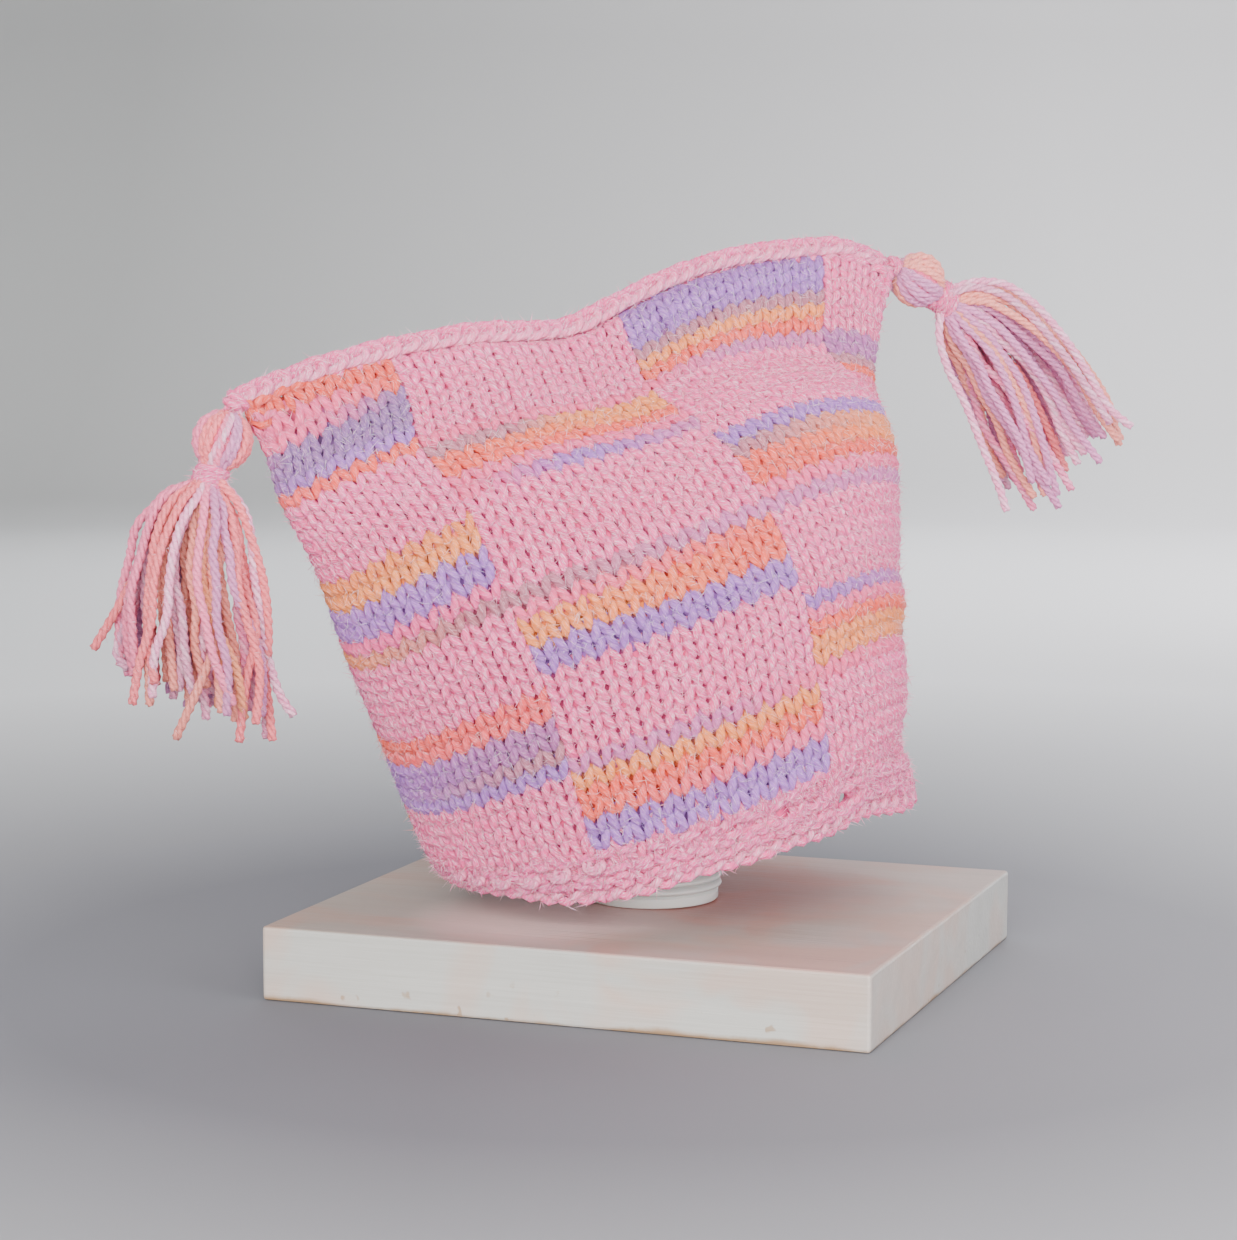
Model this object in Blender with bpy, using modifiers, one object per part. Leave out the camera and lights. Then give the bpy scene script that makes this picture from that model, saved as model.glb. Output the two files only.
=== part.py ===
"""Knitted jester hat with a tassel at each corner, standing over a ribbed neck on a painted board.

Metres, +Z up. The origin is the middle of the board's underside and +X runs along the
board's long front edge. The hat has its own frame: x along the top seam (left corner at -x),
y across it (front at -y), turned by HAT_TURN about the vertical.
"""
import math
from collections import namedtuple

import bmesh
import bpy
from mathutils import Matrix, Vector
from mathutils.bvhtree import BVHTree

CLEARANCE = 0.0003           # gap kept between pieces that touch

# Board: a piece of planed 1 x 6 lumber
BOARD_LENGTH = 0.160
BOARD_DEPTH = 0.1397
BOARD_THICKNESS = 0.01905
BOARD_EDGE_RADIUS = 0.0008

# Ribbed neck in the middle of the board, and the plain post above it
NECK_RADIUS = 0.0168
NECK_BAND = 0.0030           # height of the smooth band at its foot
RIB_RADIUS = 0.0185
RIB_PITCH = 0.0022
RIB_COUNT = 10
POST_RADIUS = 0.010

# Hat: overall
HAT_TURN = math.radians(50.0)   # seam direction from +X
HAT_SHIFT = Vector((0.0042, 0.0016))
HAT_LIFT = 0.01695           # middle of the opening above the board's top
HAT_HEIGHT = 0.150           # middle of the opening to the highest place of the top edge
SEAM_LENGTH = 0.194
OPENING_DEPTH = 0.120        # across the seam direction
STITCHES = 72                # stitches in a round
KNIT_WALL = 0.0035
HEM_WALL = 0.0040
HEM_RIDGES = 4
HEM_RIDGE_DEPTH = 0.0007
HEM_HEIGHT = 0.0135
RIDGE_RADIUS = 0.0026        # chain of stitches along the top seam
RIDGE_TIP = 0.0009           # radius of the ridge's rounded ends

# Tassels: a round head, a yarn tie round the neck and a skirt of locks
TASSEL_HEAD_RADIUS = 0.0076
TASSEL_NECK_RADIUS = 0.0030
TIE_THICKNESS = 0.0016
TIE_WIDTH = 0.0046
TIE_TURNS = 2
SKIRT_LENGTH = 0.0660        # longer of the two, from the tie's middle to the strands' ends
SKIRT_RADIUS = 0.0200
SKIRT_ROOT_RADIUS = 0.0085   # rounded shoulder below the tie
LOCK_RADIUS = 0.0050
MIDDLE_LOCK_RADIUS = 0.0075
LOCK_COUNT = 10              # locks round the skirt; one more fills its middle

# Levels of the hat from the opening (up 0) to the seam (up 1). Half length and the shift along
# are shares of half SEAM_LENGTH, half depth is a share of half OPENING_DEPTH, the six heights
# round the hat are shares of HAT_HEIGHT, and turn is the wales' drift as a share of a round.
Level = namedtuple("Level", "up half_length half_depth shift left front_left front_right "
                            "right back_right back_left turn")
LEVELS = [
    Level(0.00, 0.655, 0.96, 0.000, -0.055, -0.040, 0.072, 0.045, 0.015, -0.045, 0.016),
    Level(0.09, 0.680, 1.00, 0.000, -0.020, 0.070, 0.185, 0.140, 0.095, 0.030, 0.016),
    Level(0.24, 0.720, 1.00, -0.037, 0.095, 0.235, 0.365, 0.305, 0.250, 0.150, 0.015),
    Level(0.39, 0.755, 1.00, -0.082, 0.220, 0.380, 0.505, 0.440, 0.400, 0.290, 0.014),
    Level(0.54, 0.790, 0.90, -0.140, 0.345, 0.515, 0.650, 0.600, 0.540, 0.440, 0.011),
    Level(0.70, 0.830, 0.64, -0.205, 0.505, 0.660, 0.785, 0.740, 0.710, 0.610, 0.006),
    Level(0.85, 0.905, 0.34, -0.240, 0.630, 0.745, 0.870, 0.860, 0.830, 0.730, -0.004),
    Level(0.94, 0.942, 0.16, -0.247, 0.712, 0.805, 0.925, 0.930, 0.905, 0.800, -0.002),
    Level(1.00, 0.982, 0.058, -0.262, 0.778, 0.850, 0.965, 0.980, 0.965, 0.850, 0.000),
]

# Extra rise of the top seam, as a share of HAT_HEIGHT, along the seam from left (-1) to right (1).
Crest = namedtuple("Crest", "along rise")
CREST = [
    Crest(-1.00, -0.010),
    Crest(-0.75, 0.000),
    Crest(-0.35, 0.000),
    Crest(0.00, -0.025),
    Crest(0.12, -0.005),
    Crest(0.35, 0.025),
    Crest(0.65, 0.035),
    Crest(0.85, 0.030),
    Crest(1.00, -0.005),
]
CREST_FROM = 0.5             # share of the way up where the crest starts to show

# Dents and bulges: where (share of a round, share of the way up), how wide each way, how far
# back they push (share of half OPENING_DEPTH) and how far down (share of HAT_HEIGHT).
Dent = namedtuple("Dent", "around up wide tall back sink")
DENTS = [
    Dent(0.36, 0.80, 0.07, 0.09, 0.15, 0.03),     # shelf under the right-hand ear
    Dent(0.40, 0.62, 0.06, 0.09, -0.05, 0.00),    # bulge below that shelf
]

# Flare of the opening's edge round the hat, as a share of half OPENING_DEPTH.
Flare = namedtuple("Flare", "around out")
HEM_FLARE = [
    Flare(0.00, -0.04),
    Flare(0.10, -0.05),
    Flare(0.20, 0.00),
    Flare(0.36, 0.00),
    Flare(0.42, 0.05),
    Flare(0.48, 0.10),
    Flare(0.56, 0.06),
    Flare(0.65, 0.00),
    Flare(1.00, -0.04),
]
FLARE_UP = 0.12              # share of the way up where the flare has gone

# Tassels, each in the seam's plane: degrees below the level line from the ridge's end to the
# head, from the head to the tie and from the tie to the strands' ends, and the skirt's length as
# a share of SKIRT_LENGTH.
Tassel = namedtuple("Tassel", "side head_lean tie_lean skirt_lean reach")
TASSELS = [
    Tassel("left", 70, 69, 87, 0.88),
    Tassel("right", 24, 31, 50, 1.00),
]

# A tassel's skirt from the tie (0) to the ends (1): how far the locks' middles stand from the
# skirt's middle, as a share of the most, and the locks' thickness as a share of their radius.
Fan = namedtuple("Fan", "along spread thick")
FAN = [
    Fan(0.00, 0.10, 0.36),
    Fan(0.14, 0.42, 0.70),
    Fan(0.35, 0.66, 0.98),
    Fan(0.65, 0.86, 0.93),
    Fan(1.00, 1.00, 0.86),
]
SKIRT_BEND = 0.40            # share of the skirt over which it still leaves along the head's axis
SKIRT_DROOP = 0.30           # share of the skirt over which it runs straight to its end
SKIRT_ARCH = 0.06            # rise of the bend between the two, as a share of the skirt
LOCK_UNEVENNESS = 0.06       # share of the skirt by which its locks end short, up to twice this
LOCK_TURN = 2.4              # radians from one lock to the next in that unevenness
TIE_WAIST = 0.3              # tie's thickness between two turns, as a share of TIE_THICKNESS

# Mesh fineness
RING_SAMPLES = 360
CROWN_ROWS = 12
LINING_ROWS = 9
HEM_ROWS_PER_RIDGE = 2
RIDGE_POINTS = 44
LOCK_POINTS = 8
LOCK_ROUND_STEPS = 1
RIDGE_ROUND_STEPS = 2
HEAD_STEPS = 8
ROOT_STEPS = 6
TURN_STEPS = 4
DOME_STEPS = 8
TURNED_STEPS = 32
TASSEL_TURNED_STEPS = 16
SLIDE_ROUNDS = 60            # steps in which a sliding ball closes on its seat
HALVINGS = 24
LOOK_AHEAD = 0.02            # share of the skirt between two places that give its direction
WELD_DISTANCE = 0.00001


def remove_everything():
    for obj in list(bpy.data.objects):
        bpy.data.objects.remove(obj, do_unlink=True)


def make_material(name, color, roughness):
    """Plain Principled surface in one colour."""
    material = bpy.data.materials.new(name)
    material.use_nodes = True
    shader = material.node_tree.nodes["Principled BSDF"]
    shader.inputs["Base Color"].default_value = (*color, 1.0)
    shader.inputs["Roughness"].default_value = roughness
    material.diffuse_color = (*color, 1.0)
    return material


def smooth_curve(xs, ys, x):
    """Cubic through the points, with slopes taken from their neighbours."""
    x = min(max(x, xs[0]), xs[-1])
    spans = [b - a for a, b in zip(xs, xs[1:])]
    rates = [(b - a) / span for a, b, span in zip(ys, ys[1:], spans)]
    index = max(i for i in range(len(spans)) if i == 0 or xs[i] <= x)

    def slope(i):
        if i in (0, len(spans)):
            return rates[0] if i == 0 else rates[-1]
        total = spans[i - 1] + spans[i]
        return (rates[i - 1] * spans[i] + rates[i] * spans[i - 1]) / total

    span = spans[index]
    t = (x - xs[index]) / span
    return ((1 + 2 * t) * (1 - t) ** 2 * ys[index] + t * (1 - t) ** 2 * span * slope(index)
            + t * t * (3 - 2 * t) * ys[index + 1] + t * t * (t - 1) * span * slope(index + 1))


def column(table, key, value, x):
    """Value of one column of a table at a place of another column."""
    return smooth_curve([getattr(row, key) for row in table],
                        [getattr(row, value) for row in table], x)


def closed_curve(values, share):
    """Closed smooth curve through evenly spaced values, at a share of the way round."""
    place = (share % 1.0) * len(values)
    index = int(place)
    t = place - index
    before, here, after, beyond = (values[(index + step) % len(values)] for step in (-1, 0, 1, 2))
    return ((1 + 2 * t) * (1 - t) ** 2 * here + t * (1 - t) ** 2 * (after - before) / 2
            + t * t * (3 - 2 * t) * after + t * t * (t - 1) * (beyond - here) / 2)


class HatLevel:
    """One level of the hat: an ellipse across the seam, with its height changing round it."""

    def __init__(self, up, inset=0.0):
        self.up = up
        self.half_length = column(LEVELS, "up", "half_length", up) * SEAM_LENGTH / 2 - inset
        self.half_depth = column(LEVELS, "up", "half_depth", up) * OPENING_DEPTH / 2 - inset
        self.shift = column(LEVELS, "up", "shift", up) * SEAM_LENGTH / 2
        self.turn = column(LEVELS, "up", "turn", up)
        self.heights = [column(LEVELS, "up", name, up) for name in
                        ("left", "front_left", "front_right", "right", "back_right", "back_left")]
        fade = min(max((up - CREST_FROM) / (1 - CREST_FROM), 0.0), 1.0)
        self.crest_weight = fade * fade * (3 - 2 * fade)
        self.flare_weight = max(1 - up / FLARE_UP, 0.0) ** 1.5
        self.samples = [self.point_at(i / RING_SAMPLES) for i in range(RING_SAMPLES + 1)]
        self.lengths = [0.0]
        for a, b in zip(self.samples, self.samples[1:]):
            self.lengths.append(self.lengths[-1] + (b - a).length)

    def point_at(self, share):
        """Point at a share of the ellipse's angle: 0 is the left end and 0.25 the front."""
        angle = share * 2 * math.pi
        x = -self.half_length * math.cos(angle)
        y = -self.half_depth * math.sin(angle)
        height = closed_curve(self.heights, share)
        height += self.crest_weight * column(CREST, "along", "rise", -math.cos(angle))
        back = 0.0
        for dent in DENTS:
            reach = ((share - dent.around) / dent.wide) ** 2 + ((self.up - dent.up) / dent.tall) ** 2
            back += math.exp(-reach) * dent.back
            height -= math.exp(-reach) * dent.sink
        flare = column(HEM_FLARE, "around", "out", share) * self.flare_weight
        stretch = 1 + flare * OPENING_DEPTH / 2 / math.hypot(x, y)
        return Vector((x * stretch + self.shift, y * stretch + back * OPENING_DEPTH / 2,
                       height * HAT_HEIGHT))

    def ring(self, count):
        """Evenly spaced points round the level, starting at the left corner's wale."""
        points = []
        index = 0
        for step in sorted(range(count), key=lambda i: (i / count + self.turn) % 1.0):
            reach = ((step / count + self.turn) % 1.0) * self.lengths[-1]
            while self.lengths[index + 1] < reach:
                index += 1
            part = (reach - self.lengths[index]) / (self.lengths[index + 1] - self.lengths[index])
            points.append((step, self.samples[index].lerp(self.samples[index + 1], part)))
        return [point for _, point in sorted(points, key=lambda item: item[0])]


HAT_TO_BOARD = (Matrix.Translation((HAT_SHIFT.x, HAT_SHIFT.y, BOARD_THICKNESS + HAT_LIFT))
                @ Matrix.Rotation(HAT_TURN, 4, "Z"))


def add_object(name, mesh, material, collection, matrix=Matrix.Identity(4)):
    obj = bpy.data.objects.new(name, mesh)
    obj.data.materials.append(material)
    obj.matrix_world = matrix
    collection.objects.link(obj)
    return obj


def loft_rings(name, rings, close_first, close_last):
    """Mesh through closed rings of points. An end is closed by joining its front to its back,
    and where neither end is closed the last ring joins the first."""
    work = bmesh.new()
    rows = [[work.verts.new(point) for point in ring] for ring in rings]
    count = len(rows[0])
    pairs = list(zip(rows, rows[1:]))
    if not (close_first or close_last):
        pairs.append((rows[-1], rows[0]))
    for lower, upper in pairs:
        for i in range(count):
            j = (i + 1) % count
            work.faces.new((lower[i], lower[j], upper[j], upper[i]))
    for row, wanted in ((rows[0], close_first), (rows[-1], close_last)):
        if not wanted:
            continue
        half = count // 2
        for i in range(half):
            corners = (row[i], row[i + 1], row[(count - i - 1) % count], row[(count - i) % count])
            work.faces.new(list(dict.fromkeys(corners)))
    bmesh.ops.recalc_face_normals(work, faces=work.faces)
    mesh = bpy.data.meshes.new(name)
    work.to_mesh(mesh)
    work.free()
    mesh.shade_smooth()
    return mesh


def even(first, last, count):
    return [first + (last - first) * i / (count - 1) for i in range(count)]


def lining_top():
    """Highest level where the hollow inside is still as wide as one wall."""
    low, high = 0.5, 1.0
    for _ in range(HALVINGS):
        middle = (low + high) / 2
        half_depth = column(LEVELS, "up", "half_depth", middle) * OPENING_DEPTH / 2
        if half_depth - KNIT_WALL > KNIT_WALL / 2:
            low = middle
        else:
            high = middle
    return low


def make_crown(material, collection):
    """Hollow knitted body of the hat, from above the hem to below the top ridge."""
    start = (HEM_HEIGHT + CLEARANCE) / HAT_HEIGHT
    lining = [HatLevel(up, inset=KNIT_WALL).ring(STITCHES)
              for up in even(start, lining_top(), LINING_ROWS)]
    outside = [HatLevel(up).ring(STITCHES) for up in even(start, 1.0, CROWN_ROWS)]
    mesh = loft_rings("knit_crown", lining[::-1] + outside, True, True)
    return add_object("knit_crown", mesh, material, collection, HAT_TO_BOARD)


def make_hem(material, collection):
    """Garter-stitch hem: a thicker band with rounded ridges running round it."""
    top = (HEM_HEIGHT - CLEARANCE) / HAT_HEIGHT
    rows = HEM_RIDGES * HEM_ROWS_PER_RIDGE
    outside = []
    for i, up in enumerate(even(0.0, top, rows + 1)):
        proud = HEM_RIDGE_DEPTH if i % HEM_ROWS_PER_RIDGE else 0.0
        outside.append(HatLevel(up, inset=-proud).ring(STITCHES))
    lining = [HatLevel(up, inset=HEM_WALL).ring(STITCHES) for up in even(top, 0.0, 3)]
    mesh = loft_rings("garter_hem", outside + lining, False, False)
    return add_object("garter_hem", mesh, material, collection, HAT_TO_BOARD)


def ridge_line():
    """Middle line of the top ridge, lying on the crown's top edge from the left end to the right."""
    edge = HatLevel(1.0)
    seam = []
    for share in even(0.0, 0.5, RIDGE_POINTS):
        seam.append((edge.point_at(share) + edge.point_at(1.0 - share)) / 2)
    points = []
    for i, point in enumerate(seam):
        along = seam[min(i + 1, RIDGE_POINTS - 1)] - seam[max(i - 1, 0)]
        square = Vector((-along.z, 0, along.x)).normalized()
        points.append(point + square * (RIDGE_RADIUS + CLEARANCE))
    return points


def add_tube(name, points, radii, material, collection, round_steps):
    """Tube along a line, with its radius changing and its ends closed."""
    curve = bpy.data.curves.new(name, "CURVE")
    curve.dimensions = "3D"
    curve.bevel_depth = 1.0
    curve.bevel_resolution = round_steps
    curve.use_fill_caps = True
    spline = curve.splines.new("POLY")
    spline.points.add(len(points) - 1)
    for knot, point, radius in zip(spline.points, points, radii):
        knot.co = (*point, 1.0)
        knot.radius = radius
    return add_object(name, curve, material, collection)


def make_ridge(material, collection):
    """Raised chain of stitches that closes the top edge."""
    points = [HAT_TO_BOARD @ point for point in ridge_line()]
    run = [0.0]
    for a, b in zip(points, points[1:]):
        run.append(run[-1] + (b - a).length)
    radii = []
    for place in run:
        near_end = min(place, run[-1] - place)
        short = max(RIDGE_RADIUS - near_end, 0.0)
        radii.append(math.sqrt(max(RIDGE_RADIUS ** 2 - short ** 2, RIDGE_TIP ** 2)))
    return add_tube("seam_ridge", points, radii, material, collection, RIDGE_ROUND_STEPS)


def add_turned(name, profile, steps, material, collection, matrix, closed_profile=False):
    """Body turned about its own Z: profile points are (radius, height), top to bottom."""
    mesh = bpy.data.meshes.new(name)
    edges = [(i, i + 1) for i in range(len(profile) - 1)]
    if closed_profile:
        edges.append((len(profile) - 1, 0))
    mesh.from_pydata([(radius, 0.0, height) for radius, height in profile], edges, [])
    obj = add_object(name, mesh, material, collection, matrix)
    screw = obj.modifiers.new("turn", "SCREW")
    screw.steps = steps
    screw.render_steps = steps
    screw.use_merge_vertices = True
    screw.merge_threshold = WELD_DISTANCE
    screw.use_smooth_shade = True
    return obj


def pointing(origin, direction):
    """Frame at a point, with its -Z along a direction."""
    turn = direction.normalized().to_track_quat("-Z", "Y")
    return Matrix.Translation(origin) @ turn.to_matrix().to_4x4()


def surface_tree(objects):
    """Search tree over the surfaces of some objects, in the board's frame."""
    bpy.context.view_layer.update()
    graph = bpy.context.evaluated_depsgraph_get()
    points, faces = [], []
    for obj in objects:
        solid = obj.evaluated_get(graph)
        mesh = solid.to_mesh()
        first = len(points)
        faces += [[first + i for i in face.vertices] for face in mesh.polygons]
        points += [obj.matrix_world @ vertex.co for vertex in mesh.vertices]
        solid.to_mesh_clear()
    return BVHTree.FromPolygons(points, faces)


def slide_ball(tree, start, direction, radius):
    """Middle of a ball that slides from its start until it is one CLEARANCE from a surface."""
    place = start.copy()
    for _ in range(SLIDE_ROUNDS):
        distance = tree.find_nearest(place)[3]
        place += direction * (distance - radius - CLEARANCE)
    return place


def leaning(side, degrees):
    """Direction in the seam's plane, outwards on one side and down from the level line."""
    outward = -1 if side == "left" else 1
    angle = math.radians(degrees)
    across = Vector((outward * math.cos(angle), 0, -math.sin(angle)))
    return (HAT_TO_BOARD.to_3x3() @ across).normalized()


def shoulder(radius):
    """Distance from the middle of a ball to where it has narrowed to the tassel's neck."""
    return math.sqrt(radius ** 2 - TASSEL_NECK_RADIUS ** 2)


def tassel_places(row, hat_tree):
    """Middle of the head, middle of the tie and end of the skirt, in the board's frame."""
    line = ridge_line()
    tip = HAT_TO_BOARD @ (line[0] if row.side == "left" else line[-1])
    outward = leaning(row.side, row.head_lean)
    start = tip + outward * (RIDGE_RADIUS + 3 * TASSEL_HEAD_RADIUS)
    head = slide_ball(hat_tree, start, -outward, TASSEL_HEAD_RADIUS)
    drop = shoulder(TASSEL_HEAD_RADIUS) + CLEARANCE + TIE_WIDTH / 2
    tie = head + leaning(row.side, row.tie_lean) * drop
    return head, tie, tie + leaning(row.side, row.skirt_lean) * row.reach * SKIRT_LENGTH


def ball_arc(radius, middle, first, last, steps):
    """Profile points (radius, height) of a ball, by its angles from the top."""
    return [(radius * math.sin(angle), middle + radius * math.cos(angle))
            for angle in even(first, last, steps + 1)]


def tassel_profile():
    """Round head, straight neck inside the tie, and the rounded start of the skirt."""
    head_end = math.pi - math.asin(TASSEL_NECK_RADIUS / TASSEL_HEAD_RADIUS)
    root_start = math.asin(TASSEL_NECK_RADIUS / SKIRT_ROOT_RADIUS)
    neck_length = TIE_WIDTH + 2 * CLEARANCE
    root_middle = shoulder(TASSEL_HEAD_RADIUS) + neck_length + shoulder(SKIRT_ROOT_RADIUS)
    head = ball_arc(TASSEL_HEAD_RADIUS, 0.0, 0.0, head_end, HEAD_STEPS)
    root = ball_arc(SKIRT_ROOT_RADIUS, -root_middle, root_start, math.pi, ROOT_STEPS)
    return head + root[:-1] + [(0.0, -root_middle - SKIRT_ROOT_RADIUS)]


def tie_profile():
    """Turns of yarn side by side, round the neck."""
    inner = TASSEL_NECK_RADIUS + CLEARANCE
    half_turn = TIE_WIDTH / TIE_TURNS / 2
    profile = [(inner, TIE_WIDTH / 2)]
    for turn in range(TIE_TURNS):
        middle = TIE_WIDTH / 2 - (2 * turn + 1) * half_turn
        for angle in even(math.pi / 2, -math.pi / 2, TURN_STEPS + 1)[turn > 0:]:
            thick = TIE_WAIST + (1 - TIE_WAIST) * math.cos(angle)
            profile.append((inner + TIE_THICKNESS * thick, middle + half_turn * math.sin(angle)))
    return profile + [(inner, -TIE_WIDTH / 2)]


def skirt_spine(start, direction, end, share):
    """Middle line of a skirt: it leaves along the head's axis and bends down to its end."""
    length = (end - start).length
    first = start + direction * length * SKIRT_BEND
    second = end - (end - start) * SKIRT_DROOP + Vector((0, 0, length * SKIRT_ARCH))
    return (start * (1 - share) ** 3 + first * 3 * share * (1 - share) ** 2
            + second * 3 * share * share * (1 - share) + end * share ** 3)


def make_lock(name, places, index, material, helpers):
    """One lock of strands, from the shoulder outwards and down to its blunt end. The last lock
    fills the middle of the skirt."""
    head, tie, end = places
    direction = (tie - head).normalized()
    root = TIE_WIDTH / 2 + CLEARANCE + shoulder(SKIRT_ROOT_RADIUS) - SKIRT_ROOT_RADIUS / 2
    start = tie + direction * root
    outer = index < LOCK_COUNT
    widest = LOCK_RADIUS if outer else MIDDLE_LOCK_RADIUS
    angle = 2 * math.pi * index / LOCK_COUNT
    reach = 1.0 - LOCK_UNEVENNESS * (1 + math.sin(LOCK_TURN * index))
    side = direction.cross(Vector((0, 0, 1))).normalized()
    points, radii = [], []
    for share in even(0.0, reach, LOCK_POINTS):
        here = skirt_spine(start, direction, end, share)
        along = (skirt_spine(start, direction, end, share + LOOK_AHEAD) - here).normalized()
        first = (side - along * side.dot(along)).normalized()
        second = along.cross(first)
        if outer:
            ring = (SKIRT_RADIUS - LOCK_RADIUS) * column(FAN, "along", "spread", share)
            here += (first * math.cos(angle) + second * math.sin(angle)) * ring
        points.append(here)
        radii.append(widest * column(FAN, "along", "thick", share))
    tube = add_tube(name, points, radii, material, helpers, LOCK_ROUND_STEPS)
    return mesh_of_curve(tube, material, helpers)


def mesh_of_curve(tube, material, collection):
    """Replace a tube's curve by its mesh, with the end caps welded on."""
    bpy.context.view_layer.update()
    graph = bpy.context.evaluated_depsgraph_get()
    mesh = bpy.data.meshes.new_from_object(tube.evaluated_get(graph))
    work = bmesh.new()
    work.from_mesh(mesh)
    bmesh.ops.remove_doubles(work, verts=work.verts, dist=WELD_DISTANCE)
    bmesh.ops.recalc_face_normals(work, faces=work.faces)
    work.to_mesh(mesh)
    work.free()
    name, matrix = tube.name, tube.matrix_world.copy()
    bpy.data.objects.remove(tube, do_unlink=True)
    mesh.materials.clear()
    solid = add_object(name, mesh, material, collection, matrix)
    solid.hide_render = True
    solid.display_type = "WIRE"
    return solid


def make_tassel(row, hat_tree, material, tie_material, collection, helpers):
    """Head and locks joined in one body, and the yarn tie wound round its neck."""
    places = tassel_places(row, hat_tree)
    head, tie, _ = places
    body = add_turned("tassel_" + row.side, tassel_profile(), TASSEL_TURNED_STEPS, material,
                      collection, pointing(head, tie - head))
    for index in range(LOCK_COUNT + 1):
        lock = make_lock(f"lock_{row.side}_{index + 1}", places, index, material, helpers)
        union = body.modifiers.new("join lock", "BOOLEAN")
        union.operation = "UNION"
        union.solver = "MANIFOLD"
        union.object = lock
    add_turned("tie_" + row.side, tie_profile(), TASSEL_TURNED_STEPS, tie_material,
               collection, pointing(tie, tie - head), closed_profile=True)


def make_board(material, collection):
    bpy.ops.mesh.primitive_cube_add(size=1.0, location=(0, 0, BOARD_THICKNESS / 2))
    board = bpy.context.object
    board.name = "board"
    board.data.name = "board"
    board.data.transform(Matrix.Diagonal((BOARD_LENGTH, BOARD_DEPTH, BOARD_THICKNESS, 1)))
    board.data.materials.append(material)
    bevel = board.modifiers.new("eased edges", "BEVEL")
    bevel.width = BOARD_EDGE_RADIUS
    bevel.segments = 2
    for other in board.users_collection:
        other.objects.unlink(board)
    collection.objects.link(board)
    return board


def neck_height():
    return NECK_BAND + RIB_COUNT * RIB_PITCH


def make_neck(material, collection):
    """Ribbed neck: a smooth band and a stack of fine ribs, seated on the board."""
    top = neck_height()
    profile = [(0.0, top), (RIB_RADIUS, top)]
    for rib in range(RIB_COUNT):
        height = top - (rib + 0.5) * RIB_PITCH
        profile.append((NECK_RADIUS, height))
        profile.append((RIB_RADIUS, height - RIB_PITCH / 2))
    profile += [(NECK_RADIUS, NECK_BAND), (NECK_RADIUS, 0.0), (0.0, 0.0)]
    seat = Matrix.Translation((0, 0, BOARD_THICKNESS + CLEARANCE))
    return add_turned("neck_collar", profile, TURNED_STEPS, material, collection, seat)


def make_post(hat_tree, material, collection):
    """Plain post that carries the hat, with a domed cap under the crown."""
    foot = BOARD_THICKNESS + neck_height() + 2 * CLEARANCE
    up = Vector((0, 0, 1))
    cap = slide_ball(hat_tree, up * (foot + POST_RADIUS), up, POST_RADIUS)
    profile = ball_arc(POST_RADIUS, cap.z - foot, 0.0, math.pi / 2, DOME_STEPS)
    profile += [(POST_RADIUS, 0.0), (0.0, 0.0)]
    return add_turned("post", profile, TURNED_STEPS, material, collection,
                      Matrix.Translation((0, 0, foot)))


def main():
    remove_everything()
    scene = bpy.context.scene
    parts = bpy.data.collections.new("jester_hat")
    helpers = bpy.data.collections.new("helpers")
    scene.collection.children.link(parts)
    scene.collection.children.link(helpers)

    pink = make_material("pink_yarn", (0.78, 0.36, 0.46), 0.9)
    mixed = make_material("mixed_yarn", (0.82, 0.42, 0.38), 0.9)
    white = make_material("white_paint", (0.80, 0.78, 0.77), 0.35)
    plastic = make_material("white_plastic", (0.78, 0.77, 0.76), 0.4)
    plain = make_material("plain_plastic", (0.70, 0.70, 0.70), 0.5)

    make_board(white, parts)
    make_neck(plastic, parts)
    make_hem(pink, parts)
    crown = make_crown(pink, parts)
    ridge = make_ridge(pink, parts)
    hat_tree = surface_tree([crown, ridge])
    make_post(hat_tree, plain, parts)
    for row in TASSELS:
        make_tassel(row, hat_tree, mixed, pink, parts, helpers)


main()
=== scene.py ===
# Knitted jester hat with two tassels, over a ribbed neck on a white-painted board
import math

import bpy
import numpy as np
from mathutils import Matrix, Vector


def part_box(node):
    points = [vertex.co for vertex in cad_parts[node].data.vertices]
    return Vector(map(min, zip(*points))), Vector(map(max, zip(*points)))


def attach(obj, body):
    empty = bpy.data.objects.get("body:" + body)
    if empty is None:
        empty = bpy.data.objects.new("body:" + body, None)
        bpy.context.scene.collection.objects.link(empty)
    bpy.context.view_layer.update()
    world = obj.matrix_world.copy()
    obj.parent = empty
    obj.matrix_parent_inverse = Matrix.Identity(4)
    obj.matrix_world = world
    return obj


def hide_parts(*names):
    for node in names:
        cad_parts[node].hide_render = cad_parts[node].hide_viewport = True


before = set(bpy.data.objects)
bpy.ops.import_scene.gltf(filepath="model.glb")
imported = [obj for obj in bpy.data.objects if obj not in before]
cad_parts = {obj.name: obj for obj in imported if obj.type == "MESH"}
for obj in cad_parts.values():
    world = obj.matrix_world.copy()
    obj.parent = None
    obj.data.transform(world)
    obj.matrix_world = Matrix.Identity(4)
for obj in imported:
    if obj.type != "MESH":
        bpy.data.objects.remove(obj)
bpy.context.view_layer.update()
print("frame loaded")

# the photo's camera, fitted to the six corners of the board that it shows

view = {
    "right": np.array([0.93783, 0.34710, 0.00077]),
    "up": np.array([-0.03928, 0.10392, 0.99381]),
    "forward": np.array([-0.34487, 0.93205, -0.11110]),
    "place": np.array([0.27937, -0.78063, 0.18568]),
    "azimuth": 20.3,          # degrees round from the board's front
    "sensor": 36.0, "lens": 92.18,     # in millimetres
    "clip": (0.05, 20.0),
}
photoRight = view["right"] * (1, 1, 0)       # both level
photoToward = -view["forward"] * (1, 1, 0)
straightUp = np.array([0, 0, 1.0])

# small helpers


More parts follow.
